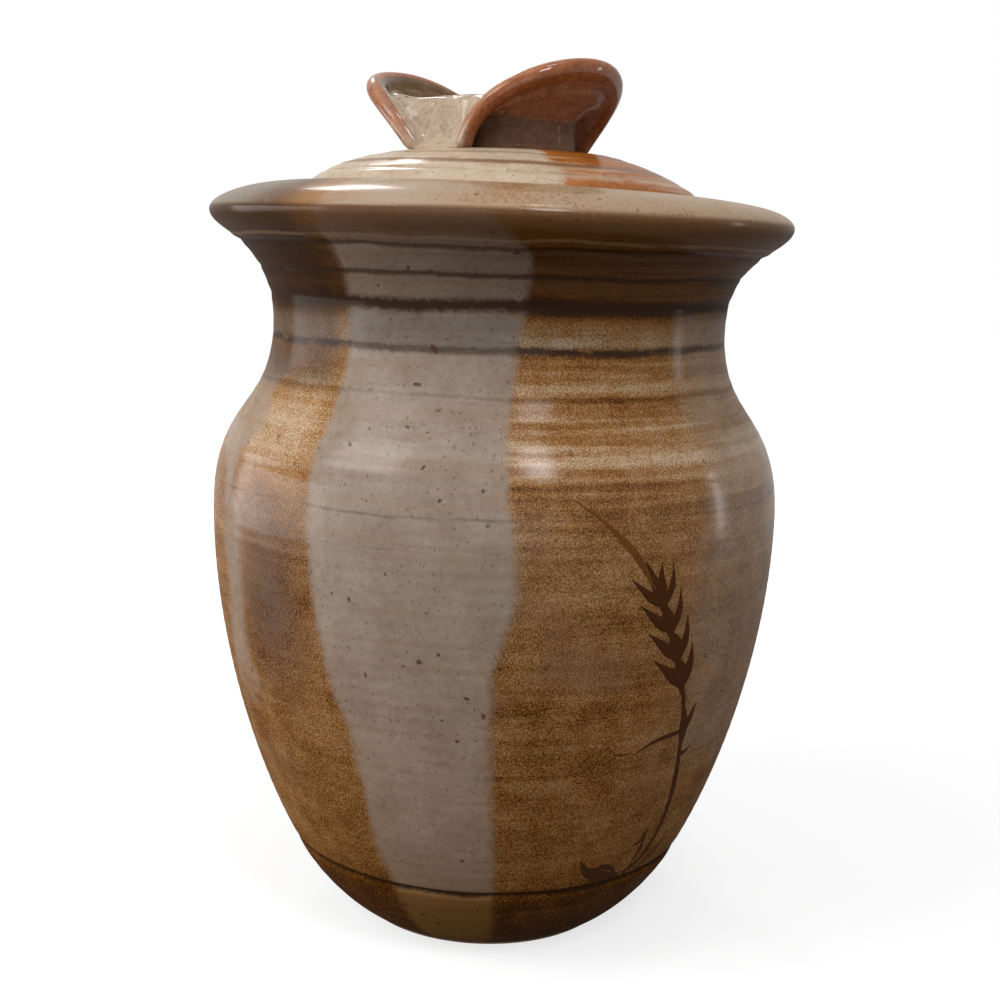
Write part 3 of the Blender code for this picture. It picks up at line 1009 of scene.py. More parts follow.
@dataclass(frozen=True)
class WheatSprig:
    """A wheat ear on its stalk, brushed in iron on the jar's right front.

    Attributes:
        ear: azimuth in degrees and height in millimetres from the ear's tip to its foot.
        stalk: the same from the ear's foot to the root.
        grain_pairs: how many pairs of grains the ear has.
        thickness: how far a stroke stands over the glaze in its middle.
        edge: the same at its sides, as a share of that.
        pile: how much more each stroke has than the one before, as a share of that.
        sunk: how far it reaches under the wall's surface.
        stations: how many steps there are along a stroke.
        across: how many points there are across it.
        look: how far to either side its direction is read, as a share of it.
    """

    ear: tuple[Point, ...] = ((31.0, 103.5), (33.2, 97.5), (35.8, 90.5), (38.2, 83.5), (40.4, 76.5))
    stalk: tuple[Point, ...] = (
        (40.3, 77.5), (42.4, 69.5), (43.9, 60.5), (45.6, 52.5), (47.1, 42.5), (46.9, 34.5), (44.6, 27.5),
        (39.6, 24.4),
    )
    grain_pairs: int = 4
    thickness: float = 0.11 * MM
    edge: float = 0.35
    pile: float = 0.04
    sunk: float = 0.30 * MM
    stations: int = 30
    across: int = 7
    look: float = 0.02

    def grains(self) -> list[BrushStroke]:
        """Pointed grains in pairs down the ear, fuller towards its foot."""
        spine = BrushStroke(self.ear, 1.0)
        found = []
        for pair in range(self.grain_pairs):
            share = (pair + 0.10) / (self.grain_pairs - 0.1)
            azimuth, height = spine.at(min(share, 1.0))
            full = 1 + 0.15 * pair
            left = (
                (azimuth - 6.0 - 0.3 * pair, height + 4.0),
                (azimuth - 3.0, height + 0.5),
                (azimuth + 0.4, height - 2.8),
            )
            right = (
                (azimuth + 2.7 - 0.2 * pair, height + 7.2),
                (azimuth + 2.9 - 0.2 * pair, height + 2.2),
                (azimuth + 1.6, height - 3.0),
            )
            husk = (
                (azimuth - 0.8, height + 2.8),
                (azimuth + 0.3, height - 0.6),
                (azimuth + 1.3, height - 4.6),
            )
            found.append(BrushStroke(left, 2.3 * full, swell=0.72, start=0.10, end=0.70))
            found.append(BrushStroke(right, 1.9 * full, swell=0.68, start=0.08, end=0.65))
            found.append(BrushStroke(husk, 3.3 + 0.55 * pair, swell=0.5, start=0.45, end=0.35))
        return found

    def ear_strokes(self) -> list[BrushStroke]:
        """Spine of the ear, its grains, its two top grains and the long awn."""
        spine = BrushStroke(self.ear, 1.9, swell=0.70, start=0.6, end=0.9)
        top = [
            BrushStroke(((31.3, 110.6), (31.5, 105.5), (32.8, 98.5)), 2.6, swell=0.6, start=0.1, end=0.5),
            BrushStroke(((28.0, 110.6), (30.0, 105.6), (32.4, 99.0)), 2.6, swell=0.6, start=0.3, end=0.5),
        ]
        awn_path = ((13.8, 126.0), (17.2, 123.0), (20.8, 119.3), (24.0, 115.2), (27.2, 110.4), (30.6, 103.5))
        awn = BrushStroke(awn_path, 1.9, swell=0.80, start=0.12, end=0.6, load=0.35)
        return [spine, awn] + top + self.grains()

    def stalk_strokes(self) -> list[BrushStroke]:
        """Stalk with its thick joint, and the thin second line beside its foot."""
        stalk = BrushStroke(self.stalk, 1.75, swell=0.55, start=0.75, end=0.8)
        joint = BrushStroke(((41.6, 73.0), (43.2, 66.5), (43.9, 60.0)), 3.0, swell=0.5, start=0.3, end=0.3)
        side = BrushStroke(((52.6, 33.5), (50.0, 28.0), (44.5, 24.6)), 1.0, swell=0.5)
        return [stalk, joint, side]

    def leaf_strokes(self) -> list[BrushStroke]:
        """Leaves off the stalk and the hooked root leaf."""
        root = ((24.0, 32.0), (26.5, 28.3), (31.4, 25.6), (38.0, 24.3))
        root_side = ((28.2, 28.4), (31.6, 28.6), (35.0, 27.0), (37.0, 25.0))
        return [
            BrushStroke(((45.4, 72.4), (44.6, 69.0), (43.4, 64.5)), 1.9, swell=0.6, start=0.3, end=0.5),
            BrushStroke(((30.6, 61.8), (36.0, 64.6), (43.0, 65.6)), 1.25, swell=0.75, start=0.15, end=0.8),
            BrushStroke(((24.8, 63.2), (27.6, 62.4), (30.2, 62.6)), 0.6, swell=0.5, load=0.5),
            BrushStroke(((47.6, 60.8), (45.9, 58.9), (43.9, 59.2)), 1.2, swell=0.6, end=0.6),
            BrushStroke(((42.2, 38.6), (41.6, 34.6), (38.9, 33.0)), 1.3, swell=0.45),
            BrushStroke(((42.0, 36.5), (42.6, 31.5), (41.4, 26.4)), 1.3, swell=0.5),
            BrushStroke(root, 3.6, swell=0.58, start=0.1, end=0.4),
            BrushStroke(root_side, 1.6, swell=0.4, start=0.3, end=0.3),
        ]

    def lay(self, name: str, jar: JarForm, strokes: Sequence[BrushStroke]) -> bpy.types.Object:
        """Strokes as thin closed bodies that follow the jar's wall.

        Args:
            name: the piece's name.
            jar: the jar that carries them.
            strokes: the strokes, each of which lies a hair over the one before.

        Returns:
            The new object, with each stroke's load of pigment at its vertices.
        """
        builder = bmesh.new()
        load = builder.verts.layers.float.new("load")
        for order, stroke in enumerate(strokes):
            shares = [step / self.stations for step in range(self.stations + 1)]
            rings = [self.ring(builder, jar, stroke, share, order) for share in shares]
            for ring in rings:
                for corner in ring:
                    corner[load] = stroke.load
            skin(builder, rings)
            builder.faces.new(rings[0])
            builder.faces.new(rings[-1])
        return finish_mesh(name, builder, sharp=60.0)

    def ring(
        self, builder: bmesh.types.BMesh, jar: JarForm, stroke: BrushStroke, share: float, order: int
    ) -> list[bmesh.types.BMVert]:
        """Closed ring of vertices across a stroke.

        Args:
            builder: the mesh that takes the vertices.
            jar: the jar that carries the stroke.
            stroke: the stroke.
            share: how far along the stroke.
            order: the stroke's place in the pile.

        Returns:
            The vertices, over the stroke and back under it.
        """
        behind, ahead = stroke.at(max(share - self.look, 0.0)), stroke.at(min(share + self.look, 1.0))
        azimuth, height = stroke.at(share)
        radius = jar.wall_here(height * MM)
        run = math.radians(ahead[0] - behind[0]) * radius
        rise = (ahead[1] - behind[1]) * MM
        length = math.hypot(run, rise) or 1.0
        half = stroke.half_width(share)
        found = []
        for side in range(2 * self.across):
            on_top = side < self.across
            place = side if on_top else 2 * self.across - 1 - side
            offset = 2 * place / (self.across - 1) - 1
            crown = blend(self.edge, 1.0, 1 - offset * offset)
            lift = self.thickness * (crown + self.pile * order) if on_top else -self.sunk
            turn = math.radians(azimuth) - offset * half * rise / length / radius
            level = height * MM + offset * half * run / length
            found.append(builder.verts.new(jar.on_wall(turn, level, lift)))
        return found


class Signal:
    """A node's output: a number, colour or vector that changes over the surface.

    Numbers add, subtract, multiply and divide like plain ones.
    """

    def __init__(self, sketch: NodeSketch, socket: Socket) -> None:
        """Keep the output and the sketch that it belongs to."""
        self.sketch = sketch
        self.socket = socket

    def __add__(self, other: Value) -> Signal:
        """Sum with another number."""
        return self.sketch.maths("ADD", self, other)

    def __sub__(self, other: Value) -> Signal:
        """What is left when another number is taken away."""
        return self.sketch.maths("SUBTRACT", self, other)

    def __rsub__(self, other: float) -> Signal:
        """What is left of a plain number when this one is taken away."""
        return self.sketch.maths("SUBTRACT", other, self)

    def __mul__(self, other: Value) -> Signal:
        """Product with another number."""
        return self.sketch.maths("MULTIPLY", self, other)

    def __truediv__(self, other: Value) -> Signal:
        """This number divided by another."""
        return self.sketch.maths("DIVIDE", self, other)

    def most(self, other: Value) -> Signal:
        """The greater of this number and another."""
        return self.sketch.maths("MAXIMUM", self, other)

    def span(self, low: Value, high: Value, start: Value = 0.0, end: Value = 1.0) -> Signal:
        """Smooth step as this number goes from one value to another.

        Args:
            low: value at which the step starts; it may be the greater of the two.
            high: value at which the step ends.
            start: result at the start.
            end: result at the end.

        Returns:
            The result.
        """
        node = self.sketch.place("ShaderNodeMapRange", interpolation_type="SMOOTHSTEP")
        for socket, number in zip(node.inputs, (self, low, high, start, end)):
            self.sketch.feed(socket, number)
        return self.sketch.read(node)

    def between(self, rise: Point, fall: Point) -> Signal:
        """1 between a rise and a fall, each a smooth step from 0 at its first number to 1."""
        return self.span(*rise) * self.span(*fall)

    def hump(self, middle: Value, half: float) -> Signal:
        """1 at the middle, falling smoothly to 0 at twice the half width on either side."""
        return self.sketch.maths("ABSOLUTE", self - middle).span(2 * half, 0.0)

    def sharpened(self, strength: Value) -> Signal:
        """This number pushed away from 0.5 and held between 0 and 1.

        Args:
            strength: half of what the distance from 0.5 is multiplied by.

        Returns:
            The result.
        """
        node = self.sketch.place("ShaderNodeClamp")
        self.sketch.feed(node.inputs[0], (self - 0.5) * (strength * 2.0) + 0.5)
        return self.sketch.read(node)

    def course(self, points: Sequence[Point]) -> Signal:
        """Number that follows points of this number and a result, smoothly between them.

        Args:
            points: pairs of this number and the result there, with this number rising.

        Returns:
            The result.
        """
        low, width = points[0][0], points[-1][0] - points[0][0]
        least, most = min(point[1] for point in points), max(point[1] for point in points)
        node = self.sketch.place("ShaderNodeFloatCurve")
        curve = node.mapping.curves[0]
        found = [((place - low) / width, (result - least) / (most - least)) for place, result in points]
        curve.points[0].location, curve.points[-1].location = found[0], found[-1]
        for place, result in found[1:-1]:
            curve.points.new(place, result)
        node.mapping.update()
        self.sketch.feed(node.inputs[1], (self - low) / width)
        return self.sketch.read(node) * (most - least) + least


Value = float | Signal


class NodeSketch:
    """Short ways to place and link nodes in one tree."""

    def __init__(self, tree: bpy.types.NodeTree) -> None:
        """Keep the tree that the nodes go into."""
        self.tree = tree

    def place(self, kind: str, **settings: object) -> bpy.types.Node:
        """New node.

        Args:
            kind: Blender's name for its kind.
            settings: its own settings.

        Returns:
            The node.
        """
        node = self.tree.nodes.new(kind)
        for name, value in settings.items():
            setattr(node, name, value)
        return node

    def read(self, node: bpy.types.Node, output: int | str = 0) -> Signal:
        """A node's output, by its place or its name."""
        return Signal(self, node.outputs[output])

    def feed(self, socket: Socket, value: Value | Colour) -> None:
        """Link an output to an input, or set the input's own value.

        Args:
            socket: the input.
            value: an output, a number, a colour or a vector.
        """
        if isinstance(value, Signal):
            self.tree.links.new(value.socket, socket)
        elif socket.type == "RGBA":
            socket.default_value = (*value, 1.0)
        else:
            socket.default_value = value

    def maths(self, operation: str, *values: Value, kind: str = "ShaderNodeMath") -> Signal:
        """Result of a sum on one to three values.

        Args:
            operation: Blender's name for the sum.
            values: the numbers, or the vectors for a node of that kind.
            kind: the node that does the sum.

        Returns:
            The result.
        """
        node = self.place(kind, operation=operation)
        for socket, value in zip(node.inputs, values):
            self.feed(socket, value)
        return self.read(node)

    def vector(self, operation: str, *values: Signal | Colour) -> Signal:
        """Result of a sum on vectors."""
        return self.maths(operation, *values, kind="ShaderNodeVectorMath")

    def mix(self, share: Value, under: Signal | Colour, over: Signal | Colour, how: str = "MIX") -> Signal:
        """Colour over another.

        Args:
            share: how much of it there is, from 0 to 1.
            under: the colour below.
            over: the colour above.
            how: Blender's name for the way in which they blend.

        Returns:
            The new colour.
        """
        node = self.place("ShaderNodeMix", data_type="RGBA", blend_type=how)
        for index, value in ((0, share), (6, under), (7, over)):
            self.feed(node.inputs[index], value)
        return self.read(node, 2)

    def noise(
        self, spot: Signal, scale: Value, detail: float = 2.0, roughness: float = 0.5, seed: Value = 0.0
    ) -> Signal:
        """Cloudy number round 0.5.

        Args:
            spot: the place on the surface, in millimetres.
            scale: clouds to the millimetre.
            detail: how many finer layers they have.
            roughness: how strong each finer layer is.
            seed: which of the many patterns it is.

        Returns:
            The number.
        """
        node = self.place("ShaderNodeTexNoise", noise_dimensions="4D")
        inputs = {"Vector": spot, "Scale": scale, "Detail": detail, "Roughness": roughness, "W": seed}
        for name, value in inputs.items():
            self.feed(node.inputs[name], value)
        return self.read(node)

    def ramp(self, share: Signal, stops: Sequence[tuple[float, Colour]]) -> Signal:
        """Colour that follows stops.

        Args:
            share: where between the stops it is, from 0 to 1.
            stops: pairs of a place and its colour, the two ends first.

        Returns:
            The colour.
        """
        node = self.place("ShaderNodeValToRGB")
        elements = node.color_ramp.elements
        for index, (place, colour) in enumerate(stops):
            element = elements[index] if index < 2 else elements.new(place)
            element.position, element.color = place, (*colour, 1.0)
        self.feed(node.inputs[0], share)
        return self.read(node)

    def group(self, tree: bpy.types.NodeTree, **inputs: Value) -> bpy.types.Node:
        """A shared effect.

        Args:
            tree: the effect's group.
            inputs: its inputs by name.

        Returns:
            The group's node.
        """
        node = self.place("ShaderNodeGroup", node_tree=tree)
        for name, value in inputs.items():
            self.feed(node.inputs[name], value)
        return node


class Effect(Enum):
    """Effects that more than one material uses."""

    POSITION = "Position on the pot"
    EDGE = "Frayed glaze edge"
    MOTTLE = "Glaze mottle"
    SPECKS = "Iron specks"
    LINE = "Turned line"
    STREAKS = "Turned streaks"
    PITS = "Glaze surface"


class EffectShelf:
    """Shader node groups of the shared effects, each made once."""

    def __init__(self) -> None:
        """Make every group, the specks before the surface that uses them."""
        self.trees: dict[Effect, bpy.types.NodeTree] = {}
        self.make_position()
        self.make_edge()
        self.make_mottle()
        self.make_specks()
        self.make_line()
        self.make_streaks()
        self.make_pits()

    def start(
        self, effect: Effect, outputs: Sequence[str], **numbers: float
    ) -> tuple[NodeSketch, Signal, list[Signal], bpy.types.Node]:
        """New group that takes the spot in millimetres and some numbers.

        Args:
            effect: the effect that the group makes.
            outputs: names of the outputs; the one named Spot is a vector.
            numbers: name of each number that it takes, with its default.

        Returns:
            A sketch of the group's tree, its spot, its numbers in order and its output node.
        """
        tree = bpy.data.node_groups.new(effect.value, "ShaderNodeTree")
        self.trees[effect] = tree
        for side, names in (("INPUT", ("Spot", *numbers)), ("OUTPUT", outputs)):
            for name in names:
                kind = "NodeSocketVector" if name == "Spot" else "NodeSocketFloat"
                socket = tree.interface.new_socket(name=name, in_out=side, socket_type=kind)
                if name in numbers:
                    socket.default_value = numbers[name]
        sketch = NodeSketch(tree)
        entry = sketch.place("NodeGroupInput")
        taken = [sketch.read(entry, name) for name in numbers]
        return sketch, sketch.read(entry, "Spot"), taken, sketch.place("NodeGroupOutput")

    def make_position(self) -> None:
        """Azimuth in degrees, height and radius in millimetres, from the spot in metres."""
        sketch, spot, _, found = self.start(Effect.POSITION, ("Azimuth", "Height", "Radius", "Spot"))
        place = sketch.vector("MULTIPLY", spot, (1 / MM,) * 3)
        split = sketch.place("ShaderNodeSeparateXYZ")
        sketch.feed(split.inputs[0], place)
        x, y, z = (sketch.read(split, axis) for axis in "XYZ")
        turn = sketch.maths("DEGREES", sketch.maths("ARCTAN2", x, y * -1.0))
        reach = sketch.maths("SQRT", x * x + y * y)
        for socket, value in zip(found.inputs, (turn, z, reach, place)):
            sketch.feed(socket, value)

    def make_edge(self) -> None:
        """Mask that is 1 where Side is positive, with a wandering, frayed edge in millimetres."""
        sketch, spot, (side, softness, wander, fray), found = self.start(
            Effect.EDGE, ("Mask",), Side=0.0, Softness=0.5, Wander=1.2, Fray=0.8
        )
        slow = sketch.noise(spot, 0.10, 1.5, 0.5, 3.0) - 0.5
        fine = sketch.noise(spot, 0.80, 3.0, 0.65, 5.0) - 0.5
        moved = side + slow * wander * 4.0 + fine * fray * 4.0
        sketch.feed(found.inputs[0], moved.span(softness * -1.0, softness))

    def make_mottle(self) -> None:
        """Blotches of two sizes, as one number from 0 to 1."""
        sketch, spot, (fine, broad, balance, contrast, seed), found = self.start(
            Effect.MOTTLE, ("Mottle",), Fine=0.9, Broad=0.16, Balance=0.5, Contrast=1.6, Seed=0.0
        )
        small = sketch.noise(spot, fine, 2.5, 0.62, seed)
        large = sketch.noise(spot, broad, 2.0, 0.55, seed)
        sketch.feed(found.inputs[0], (small + (large - small) * balance).sharpened(contrast))

    def make_specks(self) -> None:
        """Round iron specks of varied size, a share of the cells holding one."""
        sketch, spot, (spacing, size, share), found = self.start(
            Effect.SPECKS, ("Mask",), Spacing=3.0, Size=0.35, Share=0.5
        )
        cloud = sketch.place("ShaderNodeTexNoise")
        sketch.feed(cloud.inputs["Vector"], spot)
        sketch.feed(cloud.inputs["Scale"], 0.13)
        moved = sketch.vector("MULTIPLY_ADD", sketch.read(cloud, "Color"), (6.0, 6.0, 6.0), spot)
        scaled = sketch.place("ShaderNodeVectorMath", operation="SCALE")
        sketch.feed(scaled.inputs[0], moved)
        sketch.feed(scaled.inputs["Scale"], sketch.maths("DIVIDE", 1.0, spacing))
        cells = sketch.place("ShaderNodeTexVoronoi")
        sketch.feed(cells.inputs["Vector"], sketch.read(scaled))
        sketch.feed(cells.inputs["Scale"], 1.0)
        split = sketch.place("ShaderNodeSeparateColor")
        sketch.feed(split.inputs[0], sketch.read(cells, "Color"))
        chosen = sketch.maths("LESS_THAN", sketch.read(split, 0), share)
        ragged = sketch.noise(spot, 2.2, 2.0, 0.6, 9.0) * 1.6 + 0.2
        radius = (sketch.read(split, 1) * 0.9 + 0.55) * (size / spacing) * ragged
        sketch.feed(found.inputs[0], sketch.read(cells, "Distance").span(radius, radius * 0.45) * chosen)

    def make_line(self) -> None:
        """Line round the pot at a place, with a wavering width and gaps."""
        sketch, spot, (where, place, half, gaps), found = self.start(
            Effect.LINE, ("Mask",), Where=0.0, Place=0.0, Half=1.0, Gaps=0.3
        )
        waver = sketch.noise(spot, 0.05, 2.0, 0.5, 2.0) - 0.5
        fine = sketch.noise(spot, 0.9, 2.0, 0.6, 4.0) - 0.5
        moved = where + waver * 2.4 + fine * (half * 1.6)
        stretched = sketch.vector("MULTIPLY", spot, (0.12, 0.12, 0.5))
        kept = sketch.noise(stretched, 1.0, 3.0, 0.6, 6.0).span(gaps, gaps + 0.25)
        away = sketch.maths("ABSOLUTE", moved - place)
        sketch.feed(found.inputs[0], away.span(half * 1.8, half * 0.3) * kept)

    def make_streaks(self) -> None:
        """Long streaks round the pot that throwing and dipping leave, from 0 to 1."""
        sketch, spot, (pitch, contrast), found = self.start(
            Effect.STREAKS, ("Streak",), Pitch=1.3, Contrast=1.5
        )
        across = sketch.vector("MULTIPLY", spot, (0.035, 0.035, 1.0))
        streak = sketch.noise(across, sketch.maths("DIVIDE", 1.0, pitch), 2.5, 0.6, 1.0)
        sketch.feed(found.inputs[0], streak.sharpened(contrast))

    def make_pits(self) -> None:
        """Height in millimetres of a glaze's orange-peel swell and its pinholes."""
        sketch, spot, (swell, pinholes), found = self.start(
            Effect.PITS, ("Height",), Swell=0.05, Pinholes=0.06
        )
        holes = sketch.group(self.trees[Effect.SPECKS], Spot=spot, Spacing=2.6, Size=0.28, Share=0.3)
        peel = sketch.noise(spot, 0.45, 2.5, 0.55, 7.0) * swell
        sketch.feed(found.inputs[0], peel - sketch.read(holes) * pinholes)


@dataclass(frozen=True)
class Gloss:
    """How a surface shines.

    Attributes:
        specular: reflection of the body under the glaze.
        coat: most that the glassy skin reflects.
        coat_roughness: how satin that skin is.
    """

    specular: float = 0.0
    coat: float = 0.34
    coat_roughness: float = 0.17


class Finish(NodeSketch):
    """A material in the making: its nodes, its shader and where it lies on the pot."""

    def __init__(self, name: str, shelf: EffectShelf, gloss: Gloss = Gloss()) -> None:
        """Start a material with one shader and the place on the pot.

        Args:
            name: the material's name.
            shelf: the shared effects.
            gloss: values for the shader's own sockets.
        """
        self.material = bpy.data.materials.new(name)
        self.material.use_nodes = True
        super().__init__(self.material.node_tree)
        self.shelf = shelf
        self.gloss = gloss
        self.shader = self.tree.nodes["Principled BSDF"]
        self.shader.inputs["Specular IOR Level"].default_value = gloss.specular
        self.shader.inputs["Coat Roughness"].default_value = gloss.coat_roughness
        here = self.read(self.place("ShaderNodeTexCoord"), "Object")
        where = self.group(shelf.trees[Effect.POSITION], Spot=here)
        self.azimuth, self.height, self.radius, self.spot = (self.read(where, output) for output in range(4))

    def effect(self, effect: Effect, **inputs: Value) -> Signal:
        """First output of a shared effect at this spot."""
        return self.read(self.group(self.shelf.trees[effect], Spot=self.spot, **inputs))

    def mark(self, name: str) -> Signal:
        """Number kept at the mesh's vertices under this name."""
        return self.read(self.place("ShaderNodeAttribute", attribute_name=name), "Fac")

    def beyond(self, side: Value, sign: float, **look: float) -> Signal:
        """Mask of what lies beyond a side.

        Args:
            side: the side's azimuth in degrees.
            sign: 1 for what is to its right, -1 for what is to its left.
            look: the edge's softness, wander and fray in millimetres.

        Returns:
            A number from 0 to 1.
        """
        arc = (self.azimuth - side) * self.radius * (sign * math.radians(1.0))
        return self.effect(Effect.EDGE, Side=arc, **look)

    def tones(self, share: Signal, colours: Sequence[Colour]) -> Signal:
        """Colour that goes from pale through middle to deep."""
        pale, middle, deep = colours
        return self.ramp(share, ((0.0, pale), (1.0, deep), (0.5, middle)))

    def speckled(self, colour: Signal, strength: float, speck: Colour, **look: float) -> Signal:
        """Colour with specks over it."""
        return self.mix(self.effect(Effect.SPECKS, **look) * strength, colour, speck)

    def surface(self, swell: float, pinholes: float) -> Signal:
        """Height in millimetres of a glaze's swell and pinholes."""
        return self.effect(Effect.PITS, Swell=swell, Pinholes=pinholes)

    def done(self, colour: Signal, roughness: Value, relief: Signal, skin: Value = 1.0) -> bpy.types.Material:
        """Link the colour, roughness, relief and glassy skin to the shader.

        Args:
            colour: the surface's colour.
            roughness: its roughness.
            relief: its height in millimetres.
            skin: how much of the glassy skin there is, from 0 to 1.

        Returns:
            The material.
        """
        bump = self.place("ShaderNodeBump")
        bump.inputs["Distance"].default_value = MM
        self.feed(bump.inputs["Height"], relief)
        inputs = self.shader.inputs
        self.feed(inputs["Normal"], self.read(bump))
        self.feed(inputs["Base Color"], colour)
        self.feed(inputs["Roughness"], roughness)
        self.feed(inputs["Coat Weight"], skin * self.gloss.coat)
        return self.material


@dataclass(frozen=True)
class TurnedLine:
    """A line round the pot, where the glaze runs thin over a ridge or pools in a groove.

    Attributes:
        place: its height or radius in millimetres.
        half: half of its width in millimetres.
        strength: how strong it is.
        on_grey: how much of that is left on a grey run.
        gaps: how much of it is missing.
    """

    place: float
    half: float
    strength: float
    on_grey: float = 0.4
    gaps: float = 0.25

    def mask(self, finish: Finish, where: Signal) -> Signal:
        """Where the line lies, along a height or a radius."""
        return finish.effect(Effect.LINE, Where=where, Place=self.place, Half=self.half, Gaps=self.gaps)


def drawn(finish: Finish, where: Signal, lines: Sequence[TurnedLine], grey: Value = 0.0) -> Signal:
    """How much turned lines darken the glaze.

    Args:
        finish: the material that they go into.
        where: the height or the radius that their places are given in.
        lines: the lines.
        grey: how grey the glaze is, which makes them fainter.

    Returns:
        A number from 0 to 1.
    """
    clear: Value = 1.0
    for line in lines:
        faint = grey * (line.on_grey - 1.0) + 1.0
        clear = (1.0 - line.mask(finish, where) * faint * line.strength) * clear
    return 1.0 - clear


@dataclass(frozen=True)
class Patch:
    """A soft patch on the jar's wall: its middle and half widths, in degrees and in millimetres."""

    azimuth: float
    half_turn: float
    height: float
    half_height: float

    def mask(self, finish: Finish) -> Signal:
        """1 in the middle of the patch, falling to 0 round it."""
        across = finish.azimuth.hump(self.azimuth, self.half_turn)
        return across * finish.height.hump(self.height, self.half_height)


@dataclass(frozen=True)
class GlazeBand:
    """A run of grey glaze down the jar, between two edges.

    Attributes:
        left: height in millimetres and azimuth in degrees at points up its left edge.
        right: the same up its right edge.
        strength: how much it hides what lies under it.
        softness: millimetres over which its edges fade.
        wander: how far its edges drift, in millimetres.
        patchy: how much blotches break it up.
        fade: height below which it thins, and how far below it is gone.
        top: height above which it thins, and how far above it is gone.
    """

    left: tuple[Point, ...]
    right: tuple[Point, ...]
    strength: float = 1.0
    softness: float = 1.7
    wander: float = 0.8
    patchy: float = 0.0
    fade: Point = (-30.0, 10.0)
    top: Point = (300.0, 10.0)

    def mask(self, finish: Finish) -> Signal:
        """Where the band lies.

        Args:
            finish: the material that it goes into.

        Returns:
            A number from 0 to 1.
        """
        found: Value = self.strength
        for edge, sign in ((self.left, 1.0), (self.right, -1.0)):
            side = finish.height.course(edge)
            found = finish.beyond(side, sign, Softness=self.softness, Wander=self.wander, Fray=0.9) * found
        if self.patchy:
            blotch = finish.effect(Effect.MOTTLE, Fine=1.2, Broad=0.22, Balance=0.35, Contrast=1.6, Seed=11.0)
            found = found * (blotch * self.patchy + (1 - self.patchy))
        ragged = finish.height + finish.noise(finish.spot, 0.25, 3.0, 0.6, 8.0) * 14.0 - 7.0
        high, lost = self.top
        level, gone = self.fade
        return found * ragged.between((level - gone, level), (high + lost, high))


GREY_RUNS = (
    GlazeBand(
        left=(
            (0.0, -22.0), (31.0, -26.0), (48.0, -27.0), (64.0, -27.8), (79.0, -31.2), (96.0, -33.8),
            (115.0, -35.0), (150.0, -36.5), (196.0, -33.0),
        ),
        right=(
            (0.0, 2.0), (24.0, 2.1), (79.0, 0.3), (95.0, 2.6), (103.0, 4.0), (133.0, 2.3), (157.0, 4.0),
            (176.0, 6.0), (183.0, 2.0), (189.0, -2.0), (196.0, -8.0),
        ),
    ),
    GlazeBand(
        left=(
            (0.0, -66.0), (77.0, -66.5), (95.0, -62.6), (109.0, -63.6), (121.0, -64.5), (129.0, -73.0),
            (150.0, -88.0), (196.0, -90.0),
        ),
        right=(
            (0.0, -52.0), (70.0, -53.6), (80.0, -57.0), (93.0, -56.1), (114.0, -55.8), (124.0, -60.6),
            (130.0, -60.4), (137.0, -57.0), (146.0, -61.0), (150.0, -56.4), (170.0, -56.0), (196.0, -56.0),
        ),
        strength=0.85, softness=2.8, patchy=0.35, fade=(76.0, 14.0), top=(146.0, 12.0),
    ),
    GlazeBand(
        left=((0.0, 44.0), (60.0, 43.0), (102.0, 40.6), (126.0, 44.4), (196.0, 47.0)),
        right=((0.0, 84.0), (120.0, 88.0), (196.0, 84.0)),
        strength=0.66, softness=6.0, wander=2.5, patchy=0.80, fade=(64.0, 16.0), top=(165.0, 6.0),
    ),
    GlazeBand(
        left=(
            (0.0, 118.0), (30.0, 114.0), (58.0, 115.5), (90.0, 111.0), (118.0, 113.5), (150.0, 110.5),
            (196.0, 116.0),
        ),
        right=(
            (0.0, 140.0), (34.0, 145.5), (62.0, 145.0), (84.0, 150.5), (112.0, 152.5), (140.0, 149.0),
            (168.0, 152.0), (196.0, 149.0),
        ),
        wander=1.6, fade=(20.0, 16.0),
    ),
    GlazeBand(
        left=(
            (0.0, -148.0), (50.0, -150.5), (74.0, -156.0), (98.0, -154.5), (126.0, -159.0), (154.0, -155.0),
            (196.0, -151.0),
        ),
        right=(
            (0.0, -116.0), (56.0, -113.0), (82.0, -107.0), (110.0, -107.5), (134.0, -103.0), (162.0, -106.5),
            (196.0, -110.0),
        ),
        wander=1.6, fade=(48.0, 20.0),
    ),
)
IRON_LINES = (
    TurnedLine(181.2, 0.45, 0.75, on_grey=0.9, gaps=0.15),
    TurnedLine(175.0, 0.55, 0.85, on_grey=0.9, gaps=0.15),
    TurnedLine(168.0, 1.30, 0.97, on_grey=0.98, gaps=0.05),
    TurnedLine(157.9, 0.85, 0.95, on_grey=0.70, gaps=0.24),
    TurnedLine(147.3, 0.40, 0.25, on_grey=0.9),
    TurnedLine(121.0, 0.35, 0.50, on_grey=0.8, gaps=0.38),
    TurnedLine(113.5, 0.35, 0.22, on_grey=0.9, gaps=0.40),
    TurnedLine(103.0, 0.35, 0.22, on_grey=0.6, gaps=0.40),
    TurnedLine(22.2, 0.65, 0.92, on_grey=1.0, gaps=0.05),
)
RUST_LINES = (
    TurnedLine(152.0, 0.90, 0.16, gaps=0.15),
    TurnedLine(147.0, 0.70, 0.20, gaps=0.10),
    TurnedLine(141.5, 0.55, 0.18, gaps=0.20),
    TurnedLine(135.5, 0.60, 0.20, gaps=0.20),
    TurnedLine(128.2, 0.95, 0.12, gaps=0.05),
    TurnedLine(97.0, 0.60, 0.14, gaps=0.35),
    TurnedLine(58.0, 0.80, 0.14, gaps=0.35),
)
# Pale line on the ridge under the lip: partly glaze running thin over the ridge, partly a painted highlight.
RIDGE_PALE_AND_HIGHLIGHT = TurnedLine(183.2, 0.35, 0.35)


